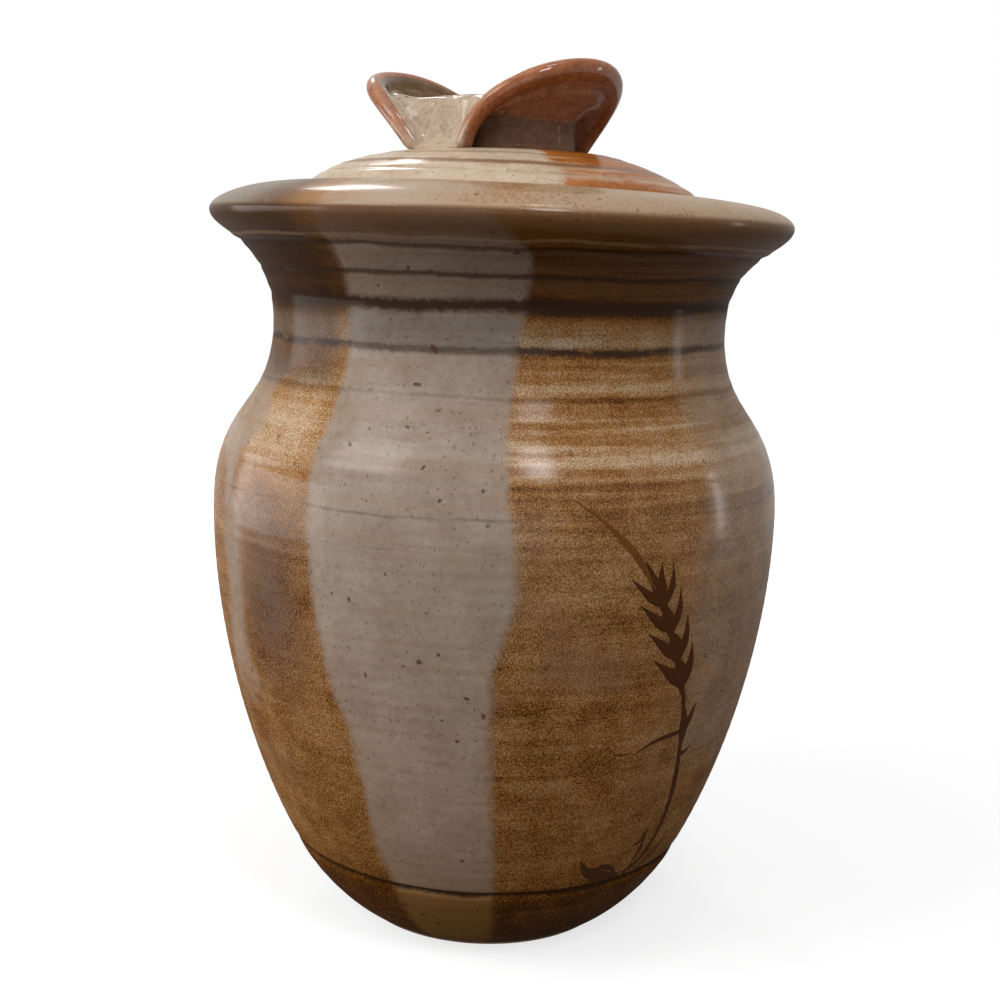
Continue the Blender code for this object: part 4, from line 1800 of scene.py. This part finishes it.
@dataclass(frozen=True)
class JarGlaze:
    """Grey runs over rust-brown glaze, with turned lines and iron specks.

    Attributes:
        grey: pale, middle and deep colour of the grey runs.
        rust: places from 0, thin, to 1, thick, with the rust-brown glaze's colour there.
        shade: what the painted shade under the lip leaves of rust and of grey; it stands partly for a darker
            glaze there and partly for the lip's shadow.
        painted_neck_shade: the same painted shade at the neck, where the lip's shadow falls.
        painted_left_shade: what the painted shade of the lip's shadow at the upper left leaves.
        under_lip: rise and fall, in millimetres up the jar, of the painted shade under the lip.
        neck: the same of the painted shade round the neck.
        hazy: the same of the cloudy haze.
        lip_left: rise and fall in degrees of the lip's orange to the left.
        lip_start: heights over which the lip's own colours begin.
        darkness: height in millimetres, and how thick the rust-brown glaze lies there.
        browning: the same for how brown the grey runs are.
        grain: the same for how grainy the rust-brown glaze is.
        ringing: the same for how far the throwing rings show in its colour.
        skin: the same for how much of the glassy skin there is.
    """

    grey: tuple[Colour, ...] = ((0.318, 0.255, 0.200), (0.275, 0.212, 0.163), (0.225, 0.165, 0.123))
    grey_streak: Colour = (0.27, 0.175, 0.112)
    # Warmer and lighter grey low down: the warmth is the glaze's tone, the lightening is painted light where
    # the lamps reach less.
    low_grey_warmth_and_light: Colour = (1.16, 1.06, 1.02)
    olive: Colour = (0.180, 0.078, 0.014)
    rust: tuple[tuple[float, Colour], ...] = (
        (0.0, (0.48, 0.37, 0.26)),
        (1.0, (0.050, 0.014, 0.001)),
        (0.30, (0.35, 0.210, 0.100)),
        (0.55, (0.256, 0.108, 0.024)),
        (0.78, (0.180, 0.066, 0.010)),
    )
    haze: Colour = (0.235, 0.138, 0.080)
    left_haze: Colour = (0.140, 0.088, 0.062)
    line_colour: Colour = (0.028, 0.012, 0.005)
    # Pale ridge colour: partly thin glaze, partly a painted highlight.
    ridge_pale_and_highlight: Colour = (0.30, 0.185, 0.110)
    speck_colour: Colour = (0.060, 0.028, 0.013)
    # Painted shade: tones multiplied into the glaze where the lip's shadow falls; under the lip they also
    # stand for a darker glaze.
    shade: tuple[Colour, ...] = ((0.55, 0.56, 0.70), (0.68, 0.62, 0.58))
    painted_neck_shade: tuple[Colour, ...] = ((0.76, 0.82, 0.92), (0.64, 0.66, 0.70))
    painted_left_shade: Colour = (0.45, 0.44, 0.48)
    under_lip: tuple[Point, Point] = ((163.0, 169.0), (190.6, 189.4))
    neck: tuple[Point, Point] = ((155.5, 160.0), (169.0, 163.0))
    hazy: tuple[Point, Point] = ((30.0, 60.0), (128.0, 112.0))
    lip_left: tuple[Point, Point] = ((-48.0, -41.0), (-31.0, -34.0))
    lip_start: Point = (189.3, 190.6)
    lip_beige: Colour = (0.330, 0.226, 0.140)
    lip_grey: Colour = (0.37, 0.290, 0.225)
    # Painted warm light on the lip's left side.
    lip_painted_warm_light: Colour = (0.46, 0.385, 0.250)
    lip_brown: Colour = (0.22, 0.105, 0.044)
    lip_orange: Colour = (0.27, 0.130, 0.050)
    broken: Patch = Patch(-48.0, 9.0, 139.0, 11.0)
    pooled: Patch = Patch(-46.0, 8.0, 99.0, 20.0)
    clouded: Patch = Patch(-46.0, 8.0, 96.0, 18.0)
    darkness: tuple[Point, ...] = (
        (0.0, 1.02), (18.0, 1.02), (23.0, 0.80), (27.0, 0.69), (45.0, 0.645), (95.0, 0.645), (112.0, 0.63),
        (121.0, 0.66), (126.0, 0.62), (131.0, 0.47), (136.0, 0.38), (147.0, 0.44), (151.0, 0.45),
        (155.0, 0.60), (160.0, 0.46), (164.0, 0.52), (168.0, 0.86), (178.0, 0.82), (183.0, 0.74),
        (188.5, 0.66), (191.0, 0.36), (196.0, 0.32),
    )
    browning: tuple[Point, ...] = (
        (0.0, 0.98), (14.0, 0.95), (20.5, 0.88), (24.0, 0.34), (60.0, 0.06), (110.0, 0.0), (196.0, 0.0),
    )
    grain: tuple[Point, ...] = (
        (0.0, 0.32), (40.0, 0.62), (118.0, 0.62), (130.0, 0.56), (158.0, 0.54), (168.0, 0.24), (182.0, 0.15),
        (196.0, 0.15),
    )
    ringing: tuple[Point, ...] = (
        (0.0, 0.08), (100.0, 0.12), (122.0, 0.20), (130.0, 0.38), (156.0, 0.36), (162.0, 0.20), (196.0, 0.12),
    )
    skin: tuple[Point, ...] = (
        (0.0, 0.05), (60.0, 0.13), (100.0, 0.32), (120.0, 0.88), (132.0, 1.0), (139.0, 0.50), (162.0, 0.40),
        (169.0, 0.20), (187.0, 0.26), (191.0, 0.88), (196.0, 0.88),
    )

    def thickness(self, finish: Finish, mottle: Signal) -> Signal:
        """How thick the rust-brown glaze lies.

        Args:
            finish: the material.
            mottle: its fine grain.

        Returns:
            A number from 0, thin and pale, to 1, thick and dark.
        """
        height = finish.height
        streak = finish.effect(Effect.STREAKS, Pitch=1.6, Contrast=1.3) - 0.5
        ringed = finish.effect(Effect.STREAKS, Pitch=3.0, Contrast=2.6) - 0.5
        right = finish.azimuth.span(-45.0, -10.0, 0.35, 1.0)
        level = (0.5 - mottle) * height.course(self.grain) + height.course(self.darkness) + streak * 0.11
        level = level + ringed * height.course(self.ringing) * right
        for line in RUST_LINES:
            level = level + line.mask(finish, height) * right * line.strength
        return level - self.broken.mask(finish) * 0.14 + self.pooled.mask(finish) * 0.16

    def rust_colour(self, finish: Finish) -> Signal:
        """Rust-brown glaze, paler where it breaks over the shoulder, with a cloudy haze.

        Args:
            finish: the material.

        Returns:
            The colour.
        """
        mottle = finish.effect(Effect.MOTTLE, Fine=2.8, Broad=0.13, Balance=0.20, Contrast=3.0)
        colour = finish.ramp(self.thickness(finish, mottle), self.rust)
        cloud = finish.noise(finish.spot, 0.045, 2.0, 0.55, 12.0).span(0.46, 0.66, 0.0, 0.34)
        colour = finish.mix(cloud * finish.height.between(*self.hazy), colour, self.haze)
        left = self.clouded.mask(finish) * mottle.span(0.15, 0.75, 0.15, 1.0)
        return finish.mix(left, colour, self.left_haze)

    def grey_colour(self, finish: Finish) -> Signal:
        """Lavender-grey glaze that browns where it is thin.

        Args:
            finish: the material.

        Returns:
            The colour.
        """
        cloud = finish.effect(Effect.MOTTLE, Fine=0.55, Broad=0.10, Balance=0.55, Contrast=1.5, Seed=2.0)
        streak = finish.effect(Effect.STREAKS, Pitch=1.9, Contrast=1.6)
        streaked = streak.span(0.45, 1.0, 0.0, 0.42)
        colour = finish.mix(streaked, finish.tones(cloud, self.grey), self.grey_streak)
        # Painted light: the grey is lifted towards the bottom, together with a warmer tone of the glaze
        # there.
        colour = finish.mix(finish.height.span(110.0, 40.0), colour, self.low_grey_warmth_and_light, "MULTIPLY")
        return finish.mix(finish.height.course(self.browning), colour, self.olive)

    def lip_colour(self, finish: Finish) -> Signal:
        """Top of the lip: beige-grey with brown blotches, orange-brown to the left, and painted warm light on
        its left side.

        Args:
            finish: the material.

        Returns:
            The colour.
        """
        turn = finish.azimuth
        blotch = finish.effect(Effect.MOTTLE, Fine=1.0, Broad=0.14, Balance=0.35, Contrast=2.0, Seed=5.0)
        blotches = blotch.span(0.50, 1.0, 0.0, 0.70) * (turn.hump(-19.0, 9.0) * -0.8 + 1.0)
        front = turn.hump(1.5, 4.5) * blotch.span(0.15, 0.60)
        left = turn.between(*self.lip_left)
        # Painted light: the lip's left side turns pale yellow, standing in for warm light from the left.
        pale = turn.span(-46.0, -56.0, 0.0, 0.8) * turn.span(-178.0, -140.0)
        colour = finish.mix(turn.hump(-19.0, 8.0) * 0.75, self.lip_beige, self.lip_grey)
        colour = finish.mix(blotches, colour, self.lip_brown)
        colour = finish.mix(front * 0.75, colour, self.lip_orange)
        colour = finish.mix(left * 0.85, colour, self.lip_orange)
        return finish.mix(pale, colour, self.lip_painted_warm_light)

    def with_painted_shade(self, finish: Finish, colour: Signal, grey: Signal) -> Signal:
        """Colour with painted shade where the lip's shadow falls: under the lip, at the upper left and round
        the neck.

        Under the lip the painted shade also stands for a darker glaze.

        Args:
            finish: the material.
            colour: the colour so far.
            grey: how grey the glaze is.

        Returns:
            The new colour.
        """
        height = finish.height
        # Painted shade: the lip's shadow at the upper left, under the lip and round the neck.
        left = finish.azimuth.span(-34.0, -44.0) * height.span(143.0, 151.0)
        for share, shade in (
            (height.between(*self.under_lip), finish.mix(grey, *self.shade)),
            (left, self.painted_left_shade),
            (height.between(*self.neck), finish.mix(grey, *self.painted_neck_shade)),
        ):
            colour = finish.mix(share, colour, shade, "MULTIPLY")
        return colour

    def build(self, shelf: EffectShelf) -> bpy.types.Material:
        """The jar's outer glaze.

        Args:
            shelf: the shared effects.

        Returns:
            The material.
        """
        finish = Finish("jar_glaze", shelf, Gloss(coat=0.39))
        height = finish.height = finish.mark("level")
        grey: Value = 0.0
        for run in GREY_RUNS:
            grey = run.mask(finish).most(grey)
        grey = grey * height.span(186.0, 180.5, 0.22, 1.0)
        colour = finish.mix(grey, self.rust_colour(finish), self.grey_colour(finish))
        on_lip = height.span(*self.lip_start) * (1.0 - grey * 0.85)
        colour = finish.mix(on_lip, colour, self.lip_colour(finish))
        colour = self.with_painted_shade(finish, colour, grey)
        colour = finish.mix(drawn(finish, height, IRON_LINES, grey), colour, self.line_colour)
        # Painted highlight on the ridge under the lip, over glaze that runs thin there.
        colour = finish.mix(RIDGE_PALE_AND_HIGHLIGHT.mask(finish, height) * RIDGE_PALE_AND_HIGHLIGHT.strength, colour, self.ridge_pale_and_highlight)
        fine = finish.effect(Effect.SPECKS, Spacing=1.05, Size=0.27, Share=0.55) * 0.50
        large = finish.effect(Effect.SPECKS, Spacing=4.6, Size=0.70, Share=0.46) * 0.85
        colour = finish.mix(fine.most(large) * (grey * 0.4 + 0.6), colour, self.speck_colour)
        sheen = finish.effect(Effect.MOTTLE, Fine=0.5, Broad=0.12, Contrast=1.2, Seed=7.0)
        roughness, skin = sheen.span(0.0, 1.0, 0.30, 0.44), height.course(self.skin)
        return finish.done(colour, roughness, finish.surface(0.10, 0.05), skin)


@dataclass(frozen=True)
class LinerGlaze:
    """Plain brown glaze inside the jar and under the lid."""

    pale: Colour = (0.30, 0.205, 0.125)
    deep: Colour = (0.15, 0.075, 0.032)
    speck: Colour = (0.06, 0.028, 0.013)

    def build(self, shelf: EffectShelf) -> bpy.types.Material:
        """The liner glaze.

        Args:
            shelf: the shared effects.

        Returns:
            The material.
        """
        finish = Finish("liner_glaze", shelf)
        mottle = finish.effect(Effect.MOTTLE, Fine=0.7, Broad=0.12, Contrast=1.4, Seed=1.0)
        streak = finish.effect(Effect.STREAKS, Pitch=2.6, Contrast=1.4)
        colour = finish.mix(mottle * 0.6 + streak * 0.4, self.pale, self.deep)
        colour = finish.speckled(colour, 0.7, self.speck, Spacing=2.4, Size=0.4, Share=0.5)
        return finish.done(colour, mottle.span(0.0, 1.0, 0.24, 0.38), finish.surface(0.12, 0.06))


@dataclass(frozen=True)
class BareClay:
    """Fired stoneware left without glaze where pieces rest in the kiln and in use."""

    pale: Colour = (0.36, 0.225, 0.135)
    deep: Colour = (0.23, 0.125, 0.065)
    grog: Colour = (0.50, 0.38, 0.27)

    def build(self, shelf: EffectShelf) -> bpy.types.Material:
        """The bare clay.

        Args:
            shelf: the shared effects.

        Returns:
            The material.
        """
        finish = Finish("bare_clay", shelf, Gloss(specular=0.15, coat=0.0))
        mottle = finish.effect(Effect.MOTTLE, Fine=1.8, Broad=0.3, Contrast=1.5, Seed=4.0)
        grog = finish.effect(Effect.SPECKS, Spacing=1.1, Size=0.3, Share=0.4)
        colour = finish.mix(grog * 0.6, finish.mix(mottle, self.pale, self.deep), self.grog)
        relief = grog * 0.05 + finish.noise(finish.spot, 2.2, 3.0, 0.7, 3.0) * 0.16
        return finish.done(colour, mottle.span(0.0, 1.0, 0.72, 0.88), relief)


@dataclass(frozen=True)
class LidGlaze:
    """Beige-grey glaze on the lid that breaks to orange, with brown turned lines.

    Attributes:
        beige: its pale, middle and deep colour.
        orange: pale and deep colour of its orange patches.
        patches: azimuths in degrees and the outer radius in millimetres of each patch.
    """

    beige: tuple[Colour, ...] = ((0.50, 0.400, 0.298), (0.44, 0.338, 0.242), (0.33, 0.228, 0.148))
    orange: tuple[Colour, ...] = ((0.37, 0.120, 0.020), (0.205, 0.058, 0.008))
    brown: Colour = (0.17, 0.076, 0.030)
    speck: Colour = (0.09, 0.045, 0.022)
    patches: tuple[tuple[float, float, float], ...] = ((16.0, 104.0, 54.0), (-150.0, -108.0, 50.0))
    ring: TurnedLine = TurnedLine(47.5, 1.5, 0.6, gaps=0.30)
    lines: tuple[TurnedLine, ...] = (
        TurnedLine(33.5, 1.00, 0.45, gaps=0.20),
        TurnedLine(46.8, 0.60, 0.40, gaps=0.38),
        TurnedLine(42.2, 1.15, 0.85, gaps=0.12),
        TurnedLine(51.8, 0.60, 0.60, gaps=0.20),
    )

    def patch(self, finish: Finish, start: float, end: float, outside: float) -> Signal:
        """Where the glaze breaks to orange.

        Args:
            finish: the material.
            start: azimuth of the patch's left side.
            end: azimuth of its right side.
            outside: radius at which it ends.

        Returns:
            A number from 0 to 1.
        """
        look = {"Softness": 1.4, "Wander": 1.6, "Fray": 1.2}
        found = finish.beyond(end, -1.0, **look) * finish.beyond(start, 1.0, **look)
        inward = outside - finish.radius
        return found * finish.effect(Effect.EDGE, Side=inward, Softness=1.2, Wander=1.0, Fray=1.0)

    def build(self, shelf: EffectShelf) -> bpy.types.Material:
        """The lid's glaze.

        Args:
            shelf: the shared effects.

        Returns:
            The material.
        """
        finish = Finish("lid_glaze", shelf)
        cloud = finish.effect(Effect.MOTTLE, Fine=0.7, Broad=0.14, Balance=0.5, Contrast=1.5, Seed=3.0)
        streak = finish.effect(Effect.STREAKS, Pitch=2.2, Contrast=2.0)
        ring = self.ring.mask(finish, finish.radius) * self.ring.strength
        thin = streak.span(0.50, 0.95, 0.0, 0.6).most(ring)
        warm = finish.mix(thin, finish.mix(cloud, *self.orange), self.beige[1])
        front, back = (self.patch(finish, *patch) for patch in self.patches)
        colour = finish.mix(front.most(back), finish.tones(cloud, self.beige), warm)
        colour = finish.mix(drawn(finish, finish.radius, self.lines), colour, self.brown)
        colour = finish.speckled(colour, 0.7, self.speck, Spacing=1.9, Size=0.30, Share=0.5)
        return finish.done(colour, cloud.span(0.0, 1.0, 0.28, 0.42), finish.surface(0.10, 0.05))


@dataclass(frozen=True)
class KnobGlaze:
    """Red-brown glaze on the wings, beige over the folds, olive-brown in the cup, darkened there by painted
    shade.

    Attributes:
        fold: pale and deep colour over the folds.
        brim: the same round the wings' rims.
        cup: the same inside the cup, partly the glaze's olive-brown and partly painted shade.
        under: the same under the wings.
        stem: the same on the stem.
        crest_pale_and_highlight: colour on the rim's crest, partly glaze that runs thin there and partly a
            painted highlight.
    """

    fold: tuple[Colour, ...] = ((0.45, 0.352, 0.256), (0.27, 0.188, 0.129))
    brim: tuple[Colour, ...] = ((0.35, 0.118, 0.040), (0.160, 0.037, 0.009))
    cup: tuple[Colour, ...] = ((0.165, 0.095, 0.044), (0.075, 0.038, 0.017))
    under: tuple[Colour, ...] = ((0.40, 0.180, 0.100), (0.205, 0.078, 0.042))
    stem: tuple[Colour, ...] = ((0.190, 0.101, 0.063), (0.104, 0.052, 0.032))
    crest_pale_and_highlight: Colour = (0.46, 0.30, 0.19)
    speck: Colour = (0.07, 0.033, 0.016)

    def build(self, shelf: EffectShelf) -> bpy.types.Material:
        """The knob's glaze.

        Args:
            shelf: the shared effects.

        Returns:
            The material.
        """
        finish = Finish("knob_glaze", shelf, Gloss(coat=0.55, coat_roughness=0.11))
        cloud = finish.effect(Effect.MOTTLE, Fine=0.9, Broad=0.25, Balance=0.4, Contrast=1.5, Seed=6.0)
        rim, wing, upper = finish.mark("rim"), finish.mark("wing"), finish.mark("upper")
        fold, brim, cup, under, stem = (
            finish.mix(cloud, *tones) for tones in (self.fold, self.brim, self.cup, self.under, self.stem)
        )
        # Inside the cup the dark olive-brown is partly painted shade.
        colour = finish.mix(upper, finish.mix(rim.span(0.0, -0.9), under, stem), cup)
        folded = (wing + (cloud - 0.5) * 0.35).span(0.86, 0.50) * upper.span(0.3, 0.7)
        colour = finish.mix(folded, colour, fold)
        band = rim.span(upper * 0.64 + 0.20, upper * 0.44 + 0.55) * wing.span(0.05, 0.40)
        colour = finish.mix(band, colour, brim)
        # Pale crest of the rims: partly thin glaze, partly a painted highlight.
        crest = upper.hump(0.82, 0.16) * rim.span(0.9, 1.0) * 0.30
        colour = finish.mix(crest, colour, self.crest_pale_and_highlight)
        colour = finish.speckled(colour, 0.6, self.speck, Spacing=1.6, Size=0.26, Share=0.5)
        skin = rim.span(-0.2, 0.7, 0.12, 1.0).most(folded * 0.9)
        return finish.done(colour, cloud.span(0.0, 1.0, 0.22, 0.36), finish.surface(0.08, 0.04), skin)


@dataclass(frozen=True)
class BrushedIron:
    """Iron pigment brushed on the glaze and melted into it."""

    thin: Colour = (0.155, 0.060, 0.014)
    thick: Colour = (0.062, 0.020, 0.006)

    def build(self, shelf: EffectShelf) -> bpy.types.Material:
        """The brushed pigment.

        Args:
            shelf: the shared effects.

        Returns:
            The material.
        """
        finish = Finish("brushed_iron", shelf, Gloss(coat=0.04))
        cloud = finish.effect(Effect.MOTTLE, Fine=1.1, Broad=0.3, Balance=0.35, Contrast=1.4, Seed=8.0)
        load = finish.mark("load") + (cloud - 0.5) * 0.5
        colour = finish.mix(load.span(0.1, 1.0), self.thin, self.thick)
        return finish.done(colour, cloud.span(0.0, 1.0, 0.30, 0.42), finish.surface(0.10, 0.05))


@dataclass(frozen=True)
class AreaLamp:
    """A soft rectangular lamp that faces a point on the jar.

    Attributes:
        azimuth: where it stands, in degrees; 0 is in front and 90 at the right.
        elevation: how high it stands over the jar's middle, in degrees.
        distance: metres from the jar's middle.
        width: metres across.
        height: metres up and down.
        power: watts.
        tint: colour of its light.
    """

    name: str
    azimuth: float
    elevation: float
    distance: float
    width: float
    height: float
    power: float
    tint: Colour = (1.0, 1.0, 1.0)

    def build(self, target: Vector) -> bpy.types.Object:
        """Set the lamp in place and turn it to its target.

        Args:
            target: the point that it faces.

        Returns:
            The lamp.
        """
        data = bpy.data.lights.new(self.name, "AREA")
        data.shape = "RECTANGLE"
        data.size, data.size_y = self.width, self.height
        data.energy, data.color = self.power, self.tint
        lamp = bpy.data.objects.new(self.name, data)
        rise = math.radians(self.elevation)
        flat = on_circle(self.distance * math.cos(rise), math.radians(self.azimuth), 0.0)
        lamp.location = target + flat + Vector((0.0, 0.0, self.distance * math.sin(rise)))
        lamp.rotation_euler = (target - lamp.location).to_track_quat("-Z", "Y").to_euler()
        bpy.context.scene.collection.objects.link(lamp)
        return lamp


@dataclass(frozen=True)
class Studio:
    """Camera at the photograph's angle, soft lamps, pale world and floor."""

    lens: float = 54.0
    sensor: float = 36.0
    camera_distance: float = 0.405
    camera_height: float = 0.18226
    camera_fall: float = math.radians(9.687)
    camera_roll: float = math.radians(1.6)
    camera_yaw: float = math.radians(0.21)
    ambient: float = 0.11
    floor_size: float = 6.0
    floor_shade: float = 0.34
    floor_bounce: float = 0.26
    floor_glow: float = 0.74
    glow_reach: Point = (0.12, 0.60)
    target: Vector = Vector((0.0, 0.0, 0.11))
    lamps: tuple[AreaLamp, ...] = (
        AreaLamp("key_lamp", -26.0, 67.0, 0.95, 0.80, 0.42, 1.3),
        AreaLamp("fill_lamp", 4.0, 3.0, 1.10, 0.70, 0.50, 1.9),
        AreaLamp("top_lamp", 0.0, 88.0, 0.95, 0.80, 0.70, 1.0),
        AreaLamp("left_lamp", -61.0, 42.0, 0.95, 0.46, 0.38, 4.0),
        AreaLamp("left_low_lamp", -92.0, 0.0, 0.60, 0.60, 0.30, 3.0),
        AreaLamp("front_right_lamp", 20.0, 46.0, 0.95, 0.17, 0.28, 3.2),
        AreaLamp("right_lamp", 96.0, 4.0, 0.95, 0.05, 0.40, 0.8),
        AreaLamp("spot_lamp", 40.0, 77.0, 0.95, 0.12, 0.12, 0.8),
        AreaLamp("back_lamp", -162.0, 40.0, 0.95, 0.13, 0.12, 0.9),
    )

    def build_camera(self) -> bpy.types.Object:
        """The camera, made the scene's own."""
        data = bpy.data.cameras.new("camera")
        data.lens, data.sensor_width = self.lens, self.sensor
        data.clip_start, data.clip_end = 0.01, 20.0
        camera = bpy.data.objects.new("camera", data)
        place = Matrix.Translation((0.0, -self.camera_distance, self.camera_height))
        yaw = Matrix.Rotation(-self.camera_yaw, 4, "Z")
        fall = Matrix.Rotation(math.pi / 2 - self.camera_fall, 4, "X")
        camera.matrix_world = place @ yaw @ fall @ Matrix.Rotation(self.camera_roll, 4, "Z")
        bpy.context.scene.collection.objects.link(camera)
        bpy.context.scene.camera = camera
        return camera

    def build_world(self) -> bpy.types.World:
        """Soft pale surroundings that look white to the camera and in reflections."""
        world = bpy.data.worlds.new("studio_world")
        world.use_nodes = True
        sketch = NodeSketch(world.node_tree)
        shade = world.node_tree.nodes["Background"]
        seen = self.seen_directly(sketch)
        sketch.feed(shade.inputs["Color"], (1.0, 1.0, 1.0))
        sketch.feed(shade.inputs["Strength"], seen.span(0.0, 1.0, self.ambient, 1.0))
        bpy.context.scene.world = world
        return world

    def seen_directly(self, sketch: NodeSketch) -> Signal:
        """Which rays see the studio white.

        Args:
            sketch: the tree that asks.

        Returns:
            1 for camera, mirror and glass rays, 0 for the rays that light the pot.
        """
        path = sketch.place("ShaderNodeLightPath")
        camera, mirror, glass = (
            sketch.read(path, f"Is {kind} Ray") for kind in ("Camera", "Glossy", "Transmission")
        )
        return camera.most(mirror.most(glass))

    def build_floor(self) -> bpy.types.Object:
        """Pale floor that keeps the pot's shadow."""
        half = self.floor_size / 2
        mesh = bpy.data.meshes.new("studio_floor")
        corners = [(-half, -half, 0.0), (half, -half, 0.0), (half, half, 0.0), (-half, half, 0.0)]
        mesh.from_pydata(corners, [], [(0, 1, 2, 3)])
        floor = bpy.data.objects.new("studio_floor", mesh)
        bpy.context.scene.collection.objects.link(floor)
        material = bpy.data.materials.new("studio_floor")
        material.use_nodes = True
        sketch = NodeSketch(material.node_tree)
        shader = material.node_tree.nodes["Principled BSDF"]
        shader.inputs["Roughness"].default_value = 0.9
        shader.inputs["Specular IOR Level"].default_value = 0.0
        shader.inputs["Emission Color"].default_value = (1.0, 1.0, 1.0, 1.0)
        seen = self.seen_directly(sketch)
        pale, dim = (self.floor_shade,) * 3, (self.floor_bounce,) * 3
        sketch.feed(shader.inputs["Base Color"], sketch.mix(seen, dim, pale))
        reach = sketch.place("ShaderNodeVectorMath", operation="LENGTH")
        sketch.feed(reach.inputs[0], sketch.read(sketch.place("ShaderNodeTexCoord"), "Object"))
        glow = sketch.read(reach, "Value").span(*self.glow_reach, self.floor_glow, 1.0)
        sketch.feed(shader.inputs["Emission Strength"], seen * glow)
        mesh.materials.append(material)
        return floor

    def build(self) -> None:
        """Everything round the pot."""
        self.build_camera()
        self.build_world()
        self.build_floor()
        for lamp in self.lamps:
            lamp.build(self.target)
        bpy.context.scene.view_settings.view_transform = "Standard"


def dress(piece: bpy.types.Object, materials: Sequence[bpy.types.Material], body: Body) -> None:
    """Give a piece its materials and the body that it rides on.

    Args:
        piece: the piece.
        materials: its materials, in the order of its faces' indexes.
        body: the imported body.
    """
    for material in materials:
        piece.data.materials.append(material)
    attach(piece, body.value)
    LOG.info("%s: %d faces, rides on %s", piece.name, len(piece.data.polygons), body.value)


def main() -> None:
    """Build each sub-assembly in order and set the studio round it."""
    logging.basicConfig(level=logging.INFO, format="%(name)s: %(message)s")
    shelf = EffectShelf()
    liner, clay = LinerGlaze().build(shelf), BareClay().build(shelf)
    jar_form = JarForm()
    jar = jar_form.build()
    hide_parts("jar")
    dress(jar, (JarGlaze().build(shelf), liner, clay), Body.JAR)
    lid = LidForm().build()
    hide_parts("lid")
    dress(lid, (LidGlaze().build(shelf), liner, clay), Body.LID)
    knob = KnobForm().build()
    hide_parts("knob")
    dress(knob, (KnobGlaze().build(shelf),), Body.LID)
    sprig, iron = WheatSprig(), BrushedIron().build(shelf)
    for name, strokes in (
        ("wheat_ear", sprig.ear_strokes()),
        ("wheat_stem", sprig.stalk_strokes()),
        ("wheat_leaves", sprig.leaf_strokes()),
    ):
        dress(sprig.lay(name, jar_form, strokes), (iron,), Body.JAR)
    Studio().build()


if __name__ == "__main__":
    main()
